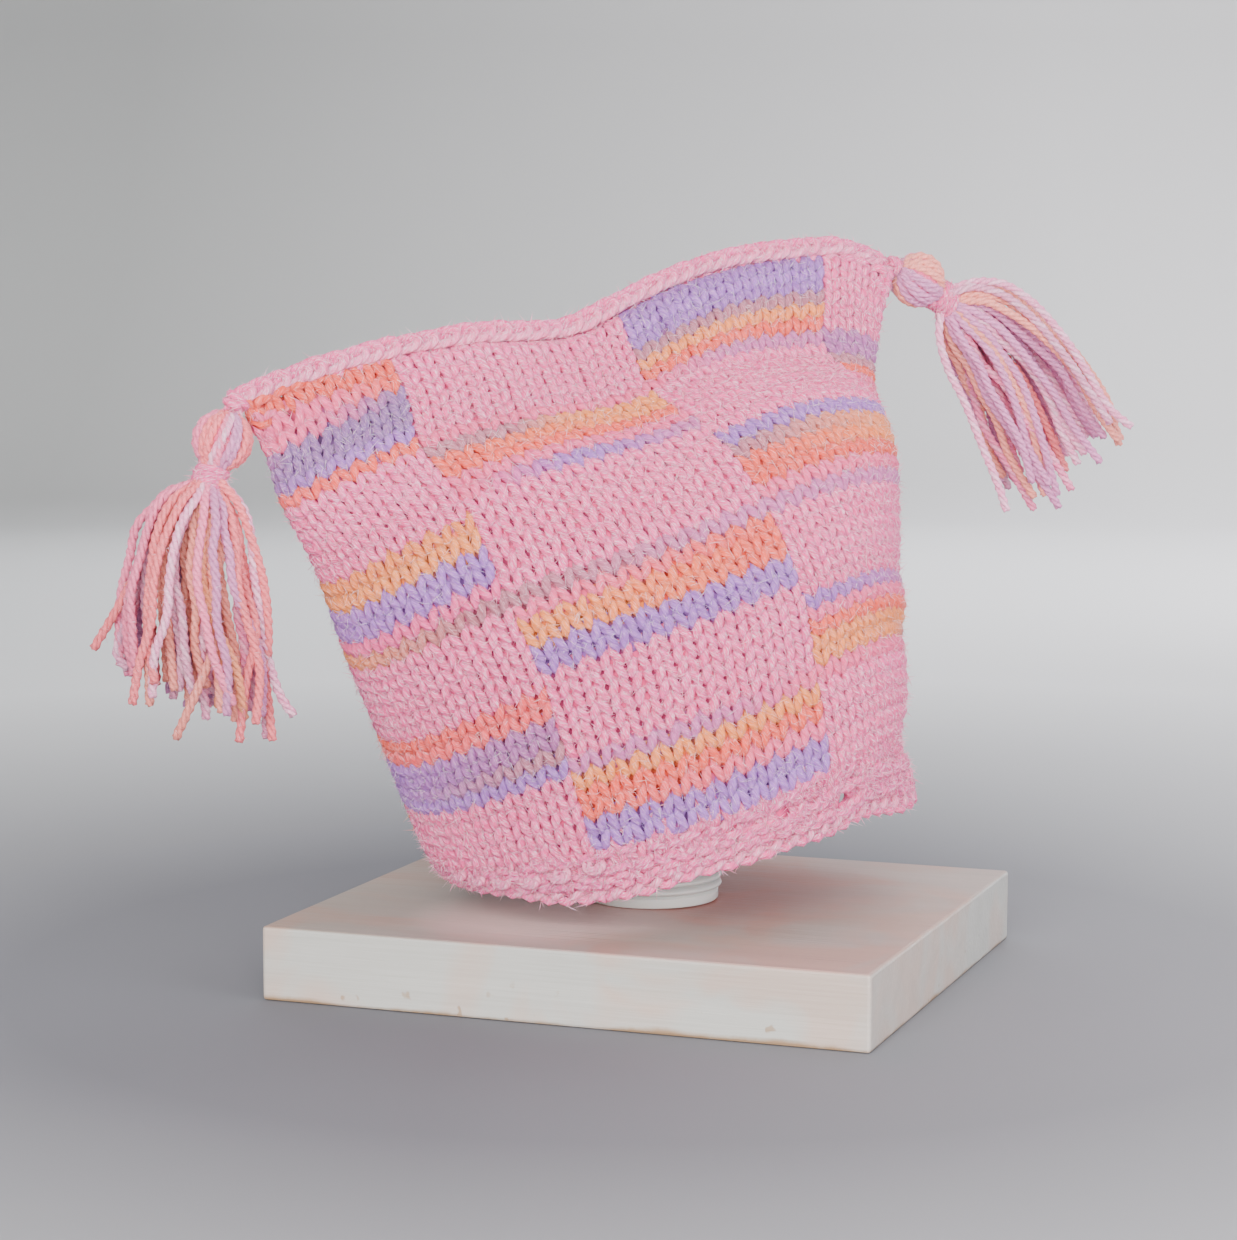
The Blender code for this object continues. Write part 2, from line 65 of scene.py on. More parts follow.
def linearColour(hexCode):
    # sRGB hex to the linear values that a shader wants
    parts = [int(hexCode[i:i + 2], 16) / 255 for i in (1, 3, 5)]
    return [c / 12.92 if c <= 0.04045 else ((c + 0.055) / 1.055) ** 2.4 for c in parts] + [1.0]


def smoothThrough(xs, ys, x):
    # cubic through the points of a table, with slopes taken from their neighbours
    xs, ys = np.asarray(xs, float), np.asarray(ys, float)
    x = np.clip(x, xs[0], xs[-1])
    spans = np.diff(xs)
    rates = np.diff(ys) / spans
    slopes = np.concatenate([[rates[0]], (rates[:-1] * spans[1:] + rates[1:] * spans[:-1])
                             / (spans[:-1] + spans[1:]), [rates[-1]]])
    i = np.clip(np.searchsorted(xs, x, side="right") - 1, 0, len(spans) - 1)
    h = spans[i]
    t = (x - xs[i]) / h
    return ((1 + 2 * t) * (1 - t) ** 2 * ys[i] + t * (1 - t) ** 2 * h * slopes[i]
            + t * t * (3 - 2 * t) * ys[i + 1] + t * t * (t - 1) * h * slopes[i + 1])


def closedThrough(values, share):
    # closed smooth curve through evenly spaced values, at a share of the way round
    values = np.asarray(values, float)
    place = (share % 1.0) * len(values)
    i = np.floor(place).astype(int)
    t = place - i
    before, here, after, beyond = (values[(i + k) % len(values)] for k in (-1, 0, 1, 2))
    return ((1 + 2 * t) * (1 - t) ** 2 * here + t * (1 - t) ** 2 * (after - before) / 2
            + t * t * (3 - 2 * t) * after + t * t * (t - 1) * (beyond - here) / 2)


def unit(vectors):
    return vectors / np.maximum(np.linalg.norm(vectors, axis=-1, keepdims=True), 1e-12)


def runAlong(path):
    # length of a path up to each of its points
    return np.concatenate([[0], np.cumsum(np.linalg.norm(np.diff(path, axis=0), axis=1))])


def pointsAt(places, run, path):
    # points of a path at places along it
    return np.stack([np.interp(places, run, path[:, k]) for k in range(3)], -1)


# the hat's surface, from the same values as its CAD solids

hat = {
    "turn": math.radians(50.0),                  # seam direction from +X
    "middle": np.array([0.0042, 0.0016, 0.036]),  # middle of the opening
    "height": 0.150,
    "halfSeam": 0.097,
    "halfDepth": 0.060,
    "stitches": 72,
    "rounds": 36,
    "hemTop": 0.09,
    "hemRows": 7,
    "hemFoot": 0.013,        # share of the way up below the lowest hem row
    # up, half length, half depth, shift, six heights from the left corner round by the front, turn
    "levels": [
        (0.00, 0.655, 0.96, 0.000, -0.055, -0.040, 0.072, 0.045, 0.015, -0.045, 0.016),
        (0.09, 0.680, 1.00, 0.000, -0.020, 0.070, 0.185, 0.140, 0.095, 0.030, 0.016),
        (0.24, 0.720, 1.00, -0.037, 0.095, 0.235, 0.365, 0.305, 0.250, 0.150, 0.015),
        (0.39, 0.755, 1.00, -0.082, 0.220, 0.380, 0.505, 0.440, 0.400, 0.290, 0.014),
        (0.54, 0.790, 0.90, -0.140, 0.345, 0.515, 0.650, 0.600, 0.540, 0.440, 0.011),
        (0.70, 0.830, 0.64, -0.205, 0.505, 0.660, 0.785, 0.740, 0.710, 0.610, 0.006),
        (0.85, 0.905, 0.34, -0.240, 0.630, 0.745, 0.870, 0.860, 0.830, 0.730, -0.004),
        (0.94, 0.942, 0.16, -0.247, 0.712, 0.805, 0.925, 0.930, 0.905, 0.800, -0.002),
        (1.00, 0.982, 0.058, -0.262, 0.778, 0.850, 0.965, 0.980, 0.965, 0.850, 0.000),
    ],
    "crest": [(-1.00, -0.010), (-0.75, 0.000), (-0.35, 0.000), (0.00, -0.025), (0.12, -0.005),
              (0.35, 0.025), (0.65, 0.035), (0.85, 0.030), (1.00, -0.005)],
    "crestFrom": 0.5,
    # around, up, wide, tall, back, sink
    "dents": [(0.36, 0.80, 0.07, 0.09, 0.15, 0.03), (0.40, 0.62, 0.06, 0.09, -0.05, 0.00)],
    "flare": [(0.00, -0.04), (0.10, -0.05), (0.20, 0.00), (0.36, 0.00), (0.42, 0.05),
              (0.48, 0.10), (0.56, 0.06), (0.65, 0.00), (1.00, -0.04)],
    "flareUp": 0.12,
    # the cloth sinks in on the right-hand side: middle stitch, wide, and depth by round
    "slack": (29.2, 6.5, [(-8.0, 0.0010), (-5.5, 0.0010), (-3.0, 0.0022), (-0.5, 0.0036), (2.0, 0.0020),
                          (4.5, 0.0020), (6.5, 0.0028), (8.5, 0.0018), (11.5, 0.0029), (13.5, 0.0018),
                          (17.0, 0.0002), (36.0, 0.0)]),
    "gridColumns": 720,
    "gridLevels": 300,
    "ringSamples": 720,
}


def toBoard(points):
    # from the hat's own frame to the board's
    c, s = math.cos(hat["turn"]), math.sin(hat["turn"])
    turn = np.array([[c, -s, 0], [s, c, 0], [0, 0, 1]])
    return points @ turn.T + hat["middle"]


def hatPoints(share, up):
    # surface points of one level at shares of its ellipse's angle, in the hat's frame
    table = list(zip(*hat["levels"]))
    halfLength = smoothThrough(table[0], table[1], up) * hat["halfSeam"]
    halfDepth = smoothThrough(table[0], table[2], up) * hat["halfDepth"]
    shift = smoothThrough(table[0], table[3], up) * hat["halfSeam"]
    heights = [float(smoothThrough(table[0], table[k], up)) for k in range(4, 10)]
    angle = share * 2 * np.pi
    x, y = -halfLength * np.cos(angle), -halfDepth * np.sin(angle)
    height = closedThrough(heights, share)
    fade = min(max((up - hat["crestFrom"]) / (1 - hat["crestFrom"]), 0.0), 1.0)
    height = height + fade * fade * (3 - 2 * fade) * smoothThrough(*zip(*hat["crest"]), -np.cos(angle))
    back = 0.0
    for around, level, wide, tall, push, sink in hat["dents"]:
        weight = np.exp(-((share - around) / wide) ** 2 - ((up - level) / tall) ** 2)
        back = back + weight * push
        height = height - weight * sink
    flare = smoothThrough(*zip(*hat["flare"]), share) * max(1 - up / hat["flareUp"], 0.0) ** 1.5
    stretch = 1 + flare * hat["halfDepth"] / np.hypot(x, y)
    return np.stack([x * stretch + shift, y * stretch + back * hat["halfDepth"],
                     height * hat["height"]], axis=-1)


def makeSurface():
    # a fine net of points and outward normals: rows are levels, columns even places round
    table = list(zip(*hat["levels"]))
    shares = np.linspace(0, 1, hat["ringSamples"] + 1)
    rows = []
    for up in np.linspace(0, 1, hat["gridLevels"] + 1):
        ring = hatPoints(shares, up)
        run = runAlong(ring)
        wanted = (np.arange(hat["gridColumns"]) / hat["gridColumns"]
                  + smoothThrough(table[0], table[10], up)) % 1.0
        rows.append(pointsAt(wanted, run / run[-1], ring))
    net = toBoard(np.array(rows))
    across = np.roll(net, -1, axis=1) - np.roll(net, 1, axis=1)
    upward = np.gradient(net, axis=0)
    return net, unit(np.cross(across, upward))


net, netNormals = makeSurface()


def onHat(stitch, up, proud=0.0):
    # points of the hat at stitch and height, and the outward normals there
    column = (stitch / hat["stitches"] % 1.0) * hat["gridColumns"]
    level = np.clip(up, 0.0, 1.0) * hat["gridLevels"]
    i = np.floor(column).astype(int) % hat["gridColumns"]
    j = np.minimum(np.floor(level).astype(int), hat["gridLevels"] - 1)
    s, t = (column - np.floor(column))[..., None], (level - j)[..., None]
    k = (i + 1) % hat["gridColumns"]
    point = ((1 - t) * ((1 - s) * net[j, i] + s * net[j, k])
             + t * ((1 - s) * net[j + 1, i] + s * net[j + 1, k]))
    normal = unit((1 - t) * ((1 - s) * netNormals[j, i] + s * netNormals[j, k])
                  + t * ((1 - s) * netNormals[j + 1, i] + s * netNormals[j + 1, k]))
    beyond = (up - np.clip(up, 0.0, 1.0))[..., None] * hat["gridLevels"]
    point = point + beyond * (net[j + 1, i] - net[j, i])
    middle, wide, depths = hat["slack"]
    above = (up - hat["hemTop"]) / (1 - hat["hemTop"]) * hat["rounds"]
    below = (up - hat["hemTop"]) / (hat["hemTop"] - hat["hemFoot"]) * hat["hemRows"]
    sink = smoothThrough(*zip(*depths), np.where(up > hat["hemTop"], above, below))
    sink = sink * np.exp(-((stitch - middle) / wide) ** 2)
    return point + normal * (np.asarray(proud) - sink)[..., None], normal


def roundToUp(round_):
    # knitted rounds above the hem to share of the way up; hem rows are below 0
    above = hat["hemTop"] + (1 - hat["hemTop"]) * round_ / hat["rounds"]
    below = hat["hemTop"] + (hat["hemTop"] - hat["hemFoot"]) * round_ / hat["hemRows"]
    return np.where(round_ >= 0, above, below)


print("surface made")

# colours of the yarns, hem upwards, charted from the blocks of the knitting

dyes = {
    "pink": "#FE5E99",
    "ply": "#FFD6E5",
    "lilac": "#CC6CA6",
    "blue": "#A46ABF",
    "purple": "#AE649F",
    # the next dye is the blue darkened as painted shade, used at the hat's shaded left corner
    "slate": "#8E639C",
    "tan": "#B66F81",
    "yellow": "#FE894A",
    "peach": "#FE5A4A",
    "coral": "#FE595F",
    "salmon": "#FB608F",
    "pale": "#F27CAD",
    "grey": "#D676A0",
    "sand": "#FA8069",
}
dye = {name: np.array(linearColour(code)[:3]) for name, code in dyes.items()}

# for each block column: its first and last stitch, and 36 rounds; two or three names run from
# the block's left side to its right
blocks = [
    # this block's top rounds use the blue darkened as painted shade
    (-4.5, 7.5, "pink;" * 5 + "blue;blue tan;blue purple;blue purple;coral;peach coral;" + "pink;" * 6
     + "yellow tan;salmon pink pink;blue;blue;yellow;yellow;" + "pink;" * 6
     + "coral peach;slate blue;slate;salmon slate slate;salmon salmon slate;"
     + "peach salmon salmon peach;peach"),
    (7.5, 19.5, "blue;blue;peach salmon;peach;yellow;lilac lilac salmon;" + "pink;" * 6
     + "blue;blue;yellow peach;yellow peach;salmon peach;tan lilac;" + "pink;" * 6
     + "salmon blue lilac;salmon;peach;peach yellow;tan tan yellow yellow;salmon;"
     + "pink;pink;pink;pink;pink;pink"),
    (19.5, 31.5, "pink;" * 5 + "salmon;yellow yellow tan;yellow;peach;salmon;blue lilac;"
     + "pink;" * 6 + "lilac;salmon;peach;peach yellow;tan yellow;blue;" + "pink;" * 6
     + "salmon lilac lilac;peach;yellow;tan;blue;blue;blue"),
    (31.5, 43.5, "blue;blue;coral;peach;yellow;lilac;" + "pink;" * 6
     + "blue;lilac;yellow;peach;salmon;tan;" + "pink;" * 6
     + "salmon;salmon;peach;tan;purple;purple;" + "pink;pink;pink;pink;pink;pink"),
    (43.5, 55.5, "pink;" * 5 + "lilac;blue;tan;yellow;peach;coral;" + "pink;" * 6
     + "salmon;peach;yellow;tan;blue;lilac;" + "pink;" * 6
     + "coral;salmon;lilac;blue;tan;yellow;pink"),
    (55.5, 67.5, "salmon;coral;peach;yellow;tan;blue;" + "pink;" * 6
     + "lilac;purple;blue;tan;yellow;peach;" + "pink;" * 6
     + "blue;lilac;salmon;coral;peach;yellow;" + "pink;pink;pink;pink;pink;pink"),
]

# yarn tubes, gathered in one bag for each piece


def newBag():
    return {"points": [], "corners": [], "sizes": [], "uv": [], "dye": [], "count": 0}


fuzz = {
    "perMetre": 1030,         # hairs along a metre of knitted yarn
    "strandPerMetre": 300,    # along one ply of a tassel's strand
    "around": 1.9,            # radians either side of the yarn's front where they leave it
    "rootAt": 0.9,            # share of the yarn's radius at which they start
    "length": 0.0025,
    "lengths": (0.5, 1.5),    # shortest and longest, as a share of that
    "thick": 0.00013,         # a real fibre is a tenth of this and would not show
    "lift": 0.36,             # how far a hair stands up, as a share of its length
    "lifts": (0.2, 1.6),      # least and most, as a share of that
    "sunk": 0.0003,           # length hidden in the yarn
    "paler": (0.1, 0.6),      # least and most, from the yarn's dye to the pale ply: partly the pale ply's own fibres, partly a painted highlight on the hairs
    "onTassels": 0.6,         # their size on the tassels, as a share
}
hairRoots = {"knit": [], "tassel": []}


def growHairs(kind, path, along, front, side, radius, colour, count, random):
    # notes where hairs leave a yarn's outer half: root, direction outwards, direction along, colour
    i = random.integers(1, len(path) - 1, count)
    turn = random.uniform(-fuzz["around"], fuzz["around"], count)[:, None]
    out = np.cos(turn) * front[i] + np.sin(turn) * side[i]
    hairRoots[kind].append((path[i] + out * radius[i] * fuzz["rootAt"], out, along[i], colour[i, :3]))


def addTube(bag, path, reference, radius, colour, sides, twistFrom=0.0, hairs=None):
    # tube along a path with closed ends; u runs along the yarn in metres and v goes round it
    steps = len(path)
    along = unit(np.gradient(path, axis=0))
    side = unit(np.cross(along, reference))
    front = np.cross(side, along)
    angle = np.arange(sides) / sides * 2 * np.pi
    radius = np.broadcast_to(radius, steps)[:, None, None]
    ring = (np.cos(angle)[None, :, None] * front[:, None]
            + np.sin(angle)[None, :, None] * side[:, None])
    points = path[:, None] + ring * radius
    run = twistFrom + runAlong(path)
    i, j = np.meshgrid(np.arange(steps - 1), np.arange(sides), indexing="ij")
    after = (j + 1) % sides
    quads = np.stack([i * sides + j, (i + 1) * sides + j, (i + 1) * sides + after, i * sides + after], -1)
    u = np.stack([run[i], run[i + 1], run[i + 1], run[i]], -1)
    v = np.stack([j, j, j + 1, j + 1], -1) / sides
    first = bag["count"]
    caps = [np.arange(sides), (steps - 1) * sides + np.arange(sides)[::-1]]
    bag["points"].append(points.reshape(-1, 3))
    bag["corners"] += [quads.reshape(-1) + first] + [cap + first for cap in caps]
    bag["sizes"].append(np.full(quads.shape[0] * quads.shape[1], 4))
    bag["sizes"].append(np.full(2, sides))
    bag["uv"].append(np.stack([u, v], -1).reshape(-1, 2))
    for end in (0, -1):
        bag["uv"].append(np.stack([np.full(sides, run[end]), np.arange(sides) / sides], -1))
    colour = np.broadcast_to(colour, (steps, 4))
    bag["dye"].append(np.repeat(colour, sides, axis=0))
    bag["count"] += steps * sides
    if hairs:
        kind, random = hairs
        density = fuzz["perMetre"] if kind == "knit" else fuzz["strandPerMetre"]
        count = int((run[-1] - run[0]) * density)
        growHairs(kind, path, along, front, side, radius[:, 0], colour, count, random)


def meshFrom(name, points, corners, sizes):
    mesh = bpy.data.meshes.new(name)
    mesh.vertices.add(len(points))
    mesh.vertices.foreach_set("co", np.asarray(points, np.float32).ravel())
    mesh.loops.add(len(corners))
    mesh.loops.foreach_set("vertex_index", np.asarray(corners, np.int32))
    mesh.polygons.add(len(sizes))
    mesh.polygons.foreach_set("loop_start", (np.cumsum(sizes) - sizes).astype(np.int32))
    mesh.update(calc_edges=True)
    mesh.validate()
    return mesh


def dyeMesh(mesh, colours):
    # the dye at each point, with the share of pale flecks as its alpha
    layer = mesh.color_attributes.new(name="dye", type="FLOAT_COLOR", domain="POINT")
    layer.data.foreach_set("color", np.asarray(colours, np.float32).ravel())


def emptyBag(bag, name, material, slot, *nodes):
    # the bag's tubes become one piece of the hat
    mesh = meshFrom(name, np.concatenate(bag["points"]), np.concatenate(bag["corners"]),
                    np.concatenate(bag["sizes"]))
    uvMap = mesh.uv_layers.new(name="yarn")
    uvMap.data.foreach_set("uv", np.concatenate(bag["uv"]).astype(np.float32).ravel())
    dyeMesh(mesh, np.concatenate(bag["dye"]))
    placePiece(name, mesh, material, slot, *nodes)


def placePiece(name, mesh, material, slot, *nodes):
    # a piece of soft goods that rides on the part and stands for its nodes
    mesh.shade_smooth()
    mesh.materials.append(material)
    piece = bpy.data.objects.new(name, mesh)
    bpy.context.scene.collection.objects.link(piece)
    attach(piece, "root")
    if nodes:
        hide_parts(*nodes)
    triangles = sum(len(face.vertices) - 2 for face in mesh.polygons)
    print(name, triangles, "triangles")


# materials


def addNode(tree, kind, links=None, **settings):
    # one node with its settings; links map an input to a value, a hex colour, an output of a node, or
    # a node, which stands for its first output
    node = tree.nodes.new("ShaderNode" + kind)
    for key, value in settings.items():
        setattr(node, key, value)
    for key, source in (links or {}).items():
        if isinstance(source, bpy.types.Node):
            source = next(output for output in source.outputs if output.enabled)
        if isinstance(source, bpy.types.NodeSocket):
            tree.links.new(source, node.inputs[key])
        else:
            node.inputs[key].default_value = linearColour(source) if isinstance(source, str) else source
    return node


def newMaterial(name, shader):
    # material with its Principled surface; returns the node tree and the surface
    material = bpy.data.materials.new(name)
    material.use_nodes = True
    tree = material.node_tree
    surface = tree.nodes["Principled BSDF"]
    for key, value in shader.items():
        surface.inputs[key].default_value = value
    return material, tree, surface


yarnLook = {
    # dull acrylic with a faint sheen and light that passes under the surface
    "shader": {"Roughness": 0.78, "Specular IOR Level": 0.2, "Sheen Weight": 0.4, "Sheen Roughness": 0.45,
               "Subsurface Weight": 0.4, "Subsurface Scale": 0.003, "Subsurface Radius": (1.0, 0.6, 0.6)},
    "streaks": (11.0, 5.0, 1.0),    # bundles of fibres across a ply, and along one turn of the plies
    "flecks": (13.0, 7.0, 1.0),     # the same for the pale flecks
    "fleckFrom": 0.54, "fleckTo": 0.63,
    "fluff": 1800.0,                # tufts about 0.6 mm across, coarser than real ones so that they show
    "plyHigh": 0.9, "fluffHigh": 0.7, "bump": 0.8,
    # painted shade in the grooves between plies, and painted highlight and shade on the streaks, lighter
    # where they stand higher
    "grooveWidth": 0.6, "paintedGrooveShade": 0.86,
    "paintedStreakShade": 0.70, "paintedStreakHighlight": 1.14,
    "startWithin": 0.05,            # each length of yarn starts its pattern within this many metres
}


def yarnMaterial(name, plies, twist, depth):
    # worsted yarn, spun and plied: soft ridges wind round it, hairy and never glossy
    material, tree, surface = newMaterial(name, yarnLook["shader"])
    place = addNode(tree, "SeparateXYZ", {0: addNode(tree, "UVMap", uv_map="yarn")})
    turns = addNode(tree, "Math", {0: place.outputs["X"], 1: 1.0 / twist}, operation="MULTIPLY")
    round_ = addNode(tree, "Math", {0: place.outputs["Y"], 1: turns}, operation="ADD")
    count = addNode(tree, "Math", {0: round_, 1: float(plies)}, operation="MULTIPLY")
    phase = addNode(tree, "Math", {0: count}, operation="FRACT")
    # height over one ply: a half round
    bow = addNode(tree, "Math", {0: phase, 1: math.pi}, operation="MULTIPLY")
    ply = addNode(tree, "Math", {0: bow}, operation="SINE")
    # streaks of fibres lie along the plies, with fluff all over
    onPly = addNode(tree, "CombineXYZ", {0: count, 1: turns})
    streakPlace = addNode(tree, "VectorMath", {0: onPly, 1: yarnLook["streaks"]}, operation="MULTIPLY")
    streaks = addNode(tree, "TexNoise", {"Vector": streakPlace, "Scale": 1.0, "Detail": 3.0,
                                         "Roughness": 0.6})
    where = addNode(tree, "TexCoord")
    fluff = addNode(tree, "TexNoise", {"Vector": where.outputs["Object"], "Scale": yarnLook["fluff"],
                                       "Detail": 4.0, "Roughness": 0.65})
    high = addNode(tree, "Math", {0: ply, 1: yarnLook["plyHigh"], 2: streaks}, operation="MULTIPLY_ADD")
    higher = addNode(tree, "Math", {0: fluff, 1: yarnLook["fluffHigh"], 2: high},
                     operation="MULTIPLY_ADD")
    bump = addNode(tree, "Bump", {"Height": higher, "Distance": depth, "Strength": yarnLook["bump"]})
    tree.links.new(bump.outputs["Normal"], surface.inputs["Normal"])
    # colour: the dye, flecked with the pale ply in the marled yarn, with painted shade between plies and
    # painted highlight and shade on the streaks, lighter where they stand higher
    tint = addNode(tree, "Attribute", attribute_name="dye")
    fleckPlace = addNode(tree, "VectorMath", {0: onPly, 1: yarnLook["flecks"]}, operation="MULTIPLY")
    flecks = addNode(tree, "TexNoise", {"Vector": fleckPlace, "Scale": 1.0, "Detail": 2.0,
                                        "Roughness": 0.6, "Distortion": 0.5})
    fleckMask = addNode(tree, "MapRange", {0: flecks, 1: yarnLook["fleckFrom"], 2: yarnLook["fleckTo"]})
    marlShare = addNode(tree, "Math", {0: fleckMask, 1: tint.outputs["Alpha"]}, operation="MULTIPLY")
    marled = addNode(tree, "Mix", {0: marlShare, 6: tint, 7: dyes["ply"]}, data_type="RGBA")
    paintedGrooveShade = addNode(tree, "MapRange", {0: ply, 1: 0.0, 2: yarnLook["grooveWidth"],
                                        3: yarnLook["paintedGrooveShade"], 4: 1.0})
    paintedStreakShading = addNode(tree, "MapRange", {0: streaks, 1: 0.3, 2: 0.7, 3: yarnLook["paintedStreakShade"],
                                      4: yarnLook["paintedStreakHighlight"]})
    both = addNode(tree, "Math", {0: paintedGrooveShade, 1: paintedStreakShading}, operation="MULTIPLY")
    final = addNode(tree, "Mix", {0: 1.0, 6: marled, 7: both}, data_type="RGBA", blend_type="MULTIPLY")
    tree.links.new(final.outputs[2], surface.inputs["Base Color"])
    tree.links.new(marled.outputs[2], surface.inputs["Sheen Tint"])
    return material


def dyedMaterial(name, shader):
    # a finish without a pattern, in the piece's own dye
    material, tree, surface = newMaterial(name, shader)
    tint = addNode(tree, "Attribute", attribute_name="dye")
    tree.links.new(tint.outputs["Color"], surface.inputs["Base Color"])
    return material


# plies, length of one turn and depth of the relief, in metres
knitYarn = yarnMaterial("acrylic worsted yarn, knitted", 4, 0.009, 0.0006)
strandYarn = yarnMaterial("acrylic worsted yarn, plies of the tassels", 2, 0.004, 0.00012)
# seen only in the gaps: no sheen, so that it reads as shadow
insideYarn = dyedMaterial("acrylic yarn, shaded inside of the cloth",
                          {"Roughness": 0.95, "Specular IOR Level": 0.1})
# single fibres: pale, a little shiny, letting light through
hairYarn = dyedMaterial("acrylic fibres standing off the yarn",
                        {"Roughness": 0.6, "Specular IOR Level": 0.3, "Sheen Weight": 0.3,
                         "Sheen Roughness": 0.5, "Subsurface Weight": 0.3, "Subsurface Scale": 0.002})
print("yarns ready")

# knitting

knit = {
    "loopSteps": 12,          # tube steps in one stitch
    "sides": 6,
    "radius": 0.00125,
    "sideways": 0.205,        # how far a loop swells beyond its neck, in stitches
    "high": 0.755,            # half height of a loop, in rounds
    "deep": 0.00092,          # how far the legs come forward of the loop's middle
    "inset": 0.00185,         # the loop's middle under the surface
    "loose": 0.06,            # unevenness of the stitches, in stitches
    "swelling": 0.08,         # unevenness of their width, as a share
    "dyeing": 0.05,           # unevenness of the dye, as a share
    "marl": 1.0,              # share of pale flecks in the pink yarn
    "fleck": 0.4,             # the same in the dyed yarn
    # wider holes between stitches: stitch, round, how wide, how far
    "holes": [(3.2, 32.5, 0.9, 0.12), (2.0, 34.9, 0.9, 0.18), (21.5, 33.5, 0.9, 0.2)],
}
hem = {
    "high": 1.32,             # half height of a garter loop, in hem rows
    "deep": 0.00100,
    "radius": 0.00118,
    "sideways": 0.25,
    "inset": 0.00180,
    "relief": 0.0002,         # purl rows stand out and knit rows sink in by this
    "uneven": 5.5,            # times the unevenness of the stockinette
    "runStitches": 12,        # stitches that one length of yarn runs
    "wander": 0.26,           # how far the rows wander up and down, in rows
    "waves": [(9, 1.9, 1.0), (4.8, 4.1, 0.7)],   # stitches, shift by row, share
    "holes": [(20.4, -4.3, 1.5, 0.85), (16.6, -2.90, 1.1, 0.7), (14.4, -2.25, 1.1, 0.6),
              (18.4, -2.90, 1.0, 0.5)],
    # how much lower the band's edge hangs, by stitch, in rows
    "edge": [(-4.5, 0.0), (6.0, 0.0), (9.0, -0.6), (12.0, -1.25), (14.5, -1.3), (17.0, -0.6), (19.0, 0.2),
             (21.0, 0.7), (23.5, 0.5), (26.2, 1.1), (28.5, 0.4), (32.0, 0.0), (72.0, 0.0)],
    # the band flares out at the right-hand end: stitch, wide, further out
    "flap": (26.6, 2.4, 0.0026),
    # loops standing out at the left-hand end: stitch and row
    "knobs": [(-0.2, -1.2), (1.0, -2.4), (2.5, -3.3), (4.1, -3.3), (5.7, -2.7), (7.4, -2.1)],
}
castOn = {
    "steps": 10,              # tube steps in one winding
    "below": 0.1, "swing": 0.4,    # in rows
    "deep": 0.0009,
    "inset": 0.0016,
    "radius": 0.00112,
    "pale": 0.20,             # from the plain dye to the pale ply
}
knob = {
    "sizes": (1.0, 0.45),     # each is an outer and an inner loop
    "from": -215, "to": 35, "points": 14,     # degrees of its turn
    "uneven": 0.3,
    "wide": 0.42,             # in stitches
    "high": 0.8,              # in rows
    "proud": 0.0003, "deep": 0.0007,
    "radius": 0.00095,
    "pale": 0.16,
}


def spreadHoles(stitch, round_, holes):
    # loops near a hole are pushed away from it
    for atStitch, atRound, wide, push in holes:
        away, over = stitch - atStitch, round_ - atRound
        weight = push * np.exp(-(away ** 2 + over ** 2) / wide ** 2)
        size = np.maximum(np.hypot(away, over), 0.05)
        stitch = stitch + weight * away / size
        round_ = round_ + weight * over / size
    return stitch, round_


def paler(colour, share):
    # a colour on its way to the pale ply
    return colour * (1 - share) + dye["ply"] * share


def blockDye(names, share, random):
    # dye along a run of yarn, passing from each named colour to the next
    colours = np.array([dye[name] for name in names])
    if len(colours) > 1:
        place = np.clip(share, 0, 1) * (len(colours) - 1)
        i = np.minimum(place.astype(int), len(colours) - 2)
        t = (place - i)[:, None]
        t = t * t * (3 - 2 * t)
        mixed = colours[i] * (1 - t) + colours[i + 1] * t
    else:
        mixed = np.repeat(colours, len(share), axis=0)
    mixed = mixed * (1 + knit["dyeing"] * random.standard_normal())
    marl = knit["marl"] if names[0] == "pink" else knit["fleck"]
    return np.column_stack([np.clip(mixed, 0, 1), np.full(len(share), marl)])


def hemDrift(stitch, round_, out, row):
    # garter rows wander, and the band flares at one end
    phase = 2 * np.pi * stitch
    round_ = round_ + hem["wander"] * sum(share * np.sin(phase / long + row * shift)
                                          for long, shift, share in hem["waves"])
    down = np.clip(-round_ / hat["hemRows"], 0, 1.2) ** 1.5
    at, wide, further = hem["flap"]
    lower = smoothThrough(*zip(*hem["edge"]), stitch)
    return round_ - lower * down, out + further * down * np.exp(-((stitch - at) / wide) ** 2)


def knitRun(bag, first, last, row, names, random, how):
    # one yarn from the stitch after `first` to `last`, along one round
    steps = knit["loopSteps"]
    count = int(round(last - first))
    t = np.arange(count * steps + 1) / steps
    index = np.minimum(t.astype(int), count - 1)
    part = t - index
    window = np.sin(np.pi * part) ** 2
    wobble = random.standard_normal((count, 3))
    swell = how["sideways"] * (1 + knit["swelling"] * wobble[index, 0])
    loose = knit["loose"] * how["uneven"]
    stitch = first + t + swell * np.sin(4 * np.pi * part) + loose * wobble[index, 1] * window
    rise = how["high"] * (1 + loose * wobble[index, 2] * window)
    round_ = row - rise * np.cos(2 * np.pi * part)
    out = -how["front"] * how["deep"] * np.cos(4 * np.pi * part)
    stitch, round_ = spreadHoles(stitch, round_, how["holes"])
    if how["wander"]:
        round_, out = hemDrift(stitch, round_, out, row)
    point, normal = onHat(stitch, roundToUp(round_), out - how["inset"])
    colour = blockDye(names, t / count, random)
    addTube(bag, point, normal, how["radius"], colour, knit["sides"],
            twistFrom=random.uniform(0, yarnLook["startWithin"]), hairs=("knit", random))


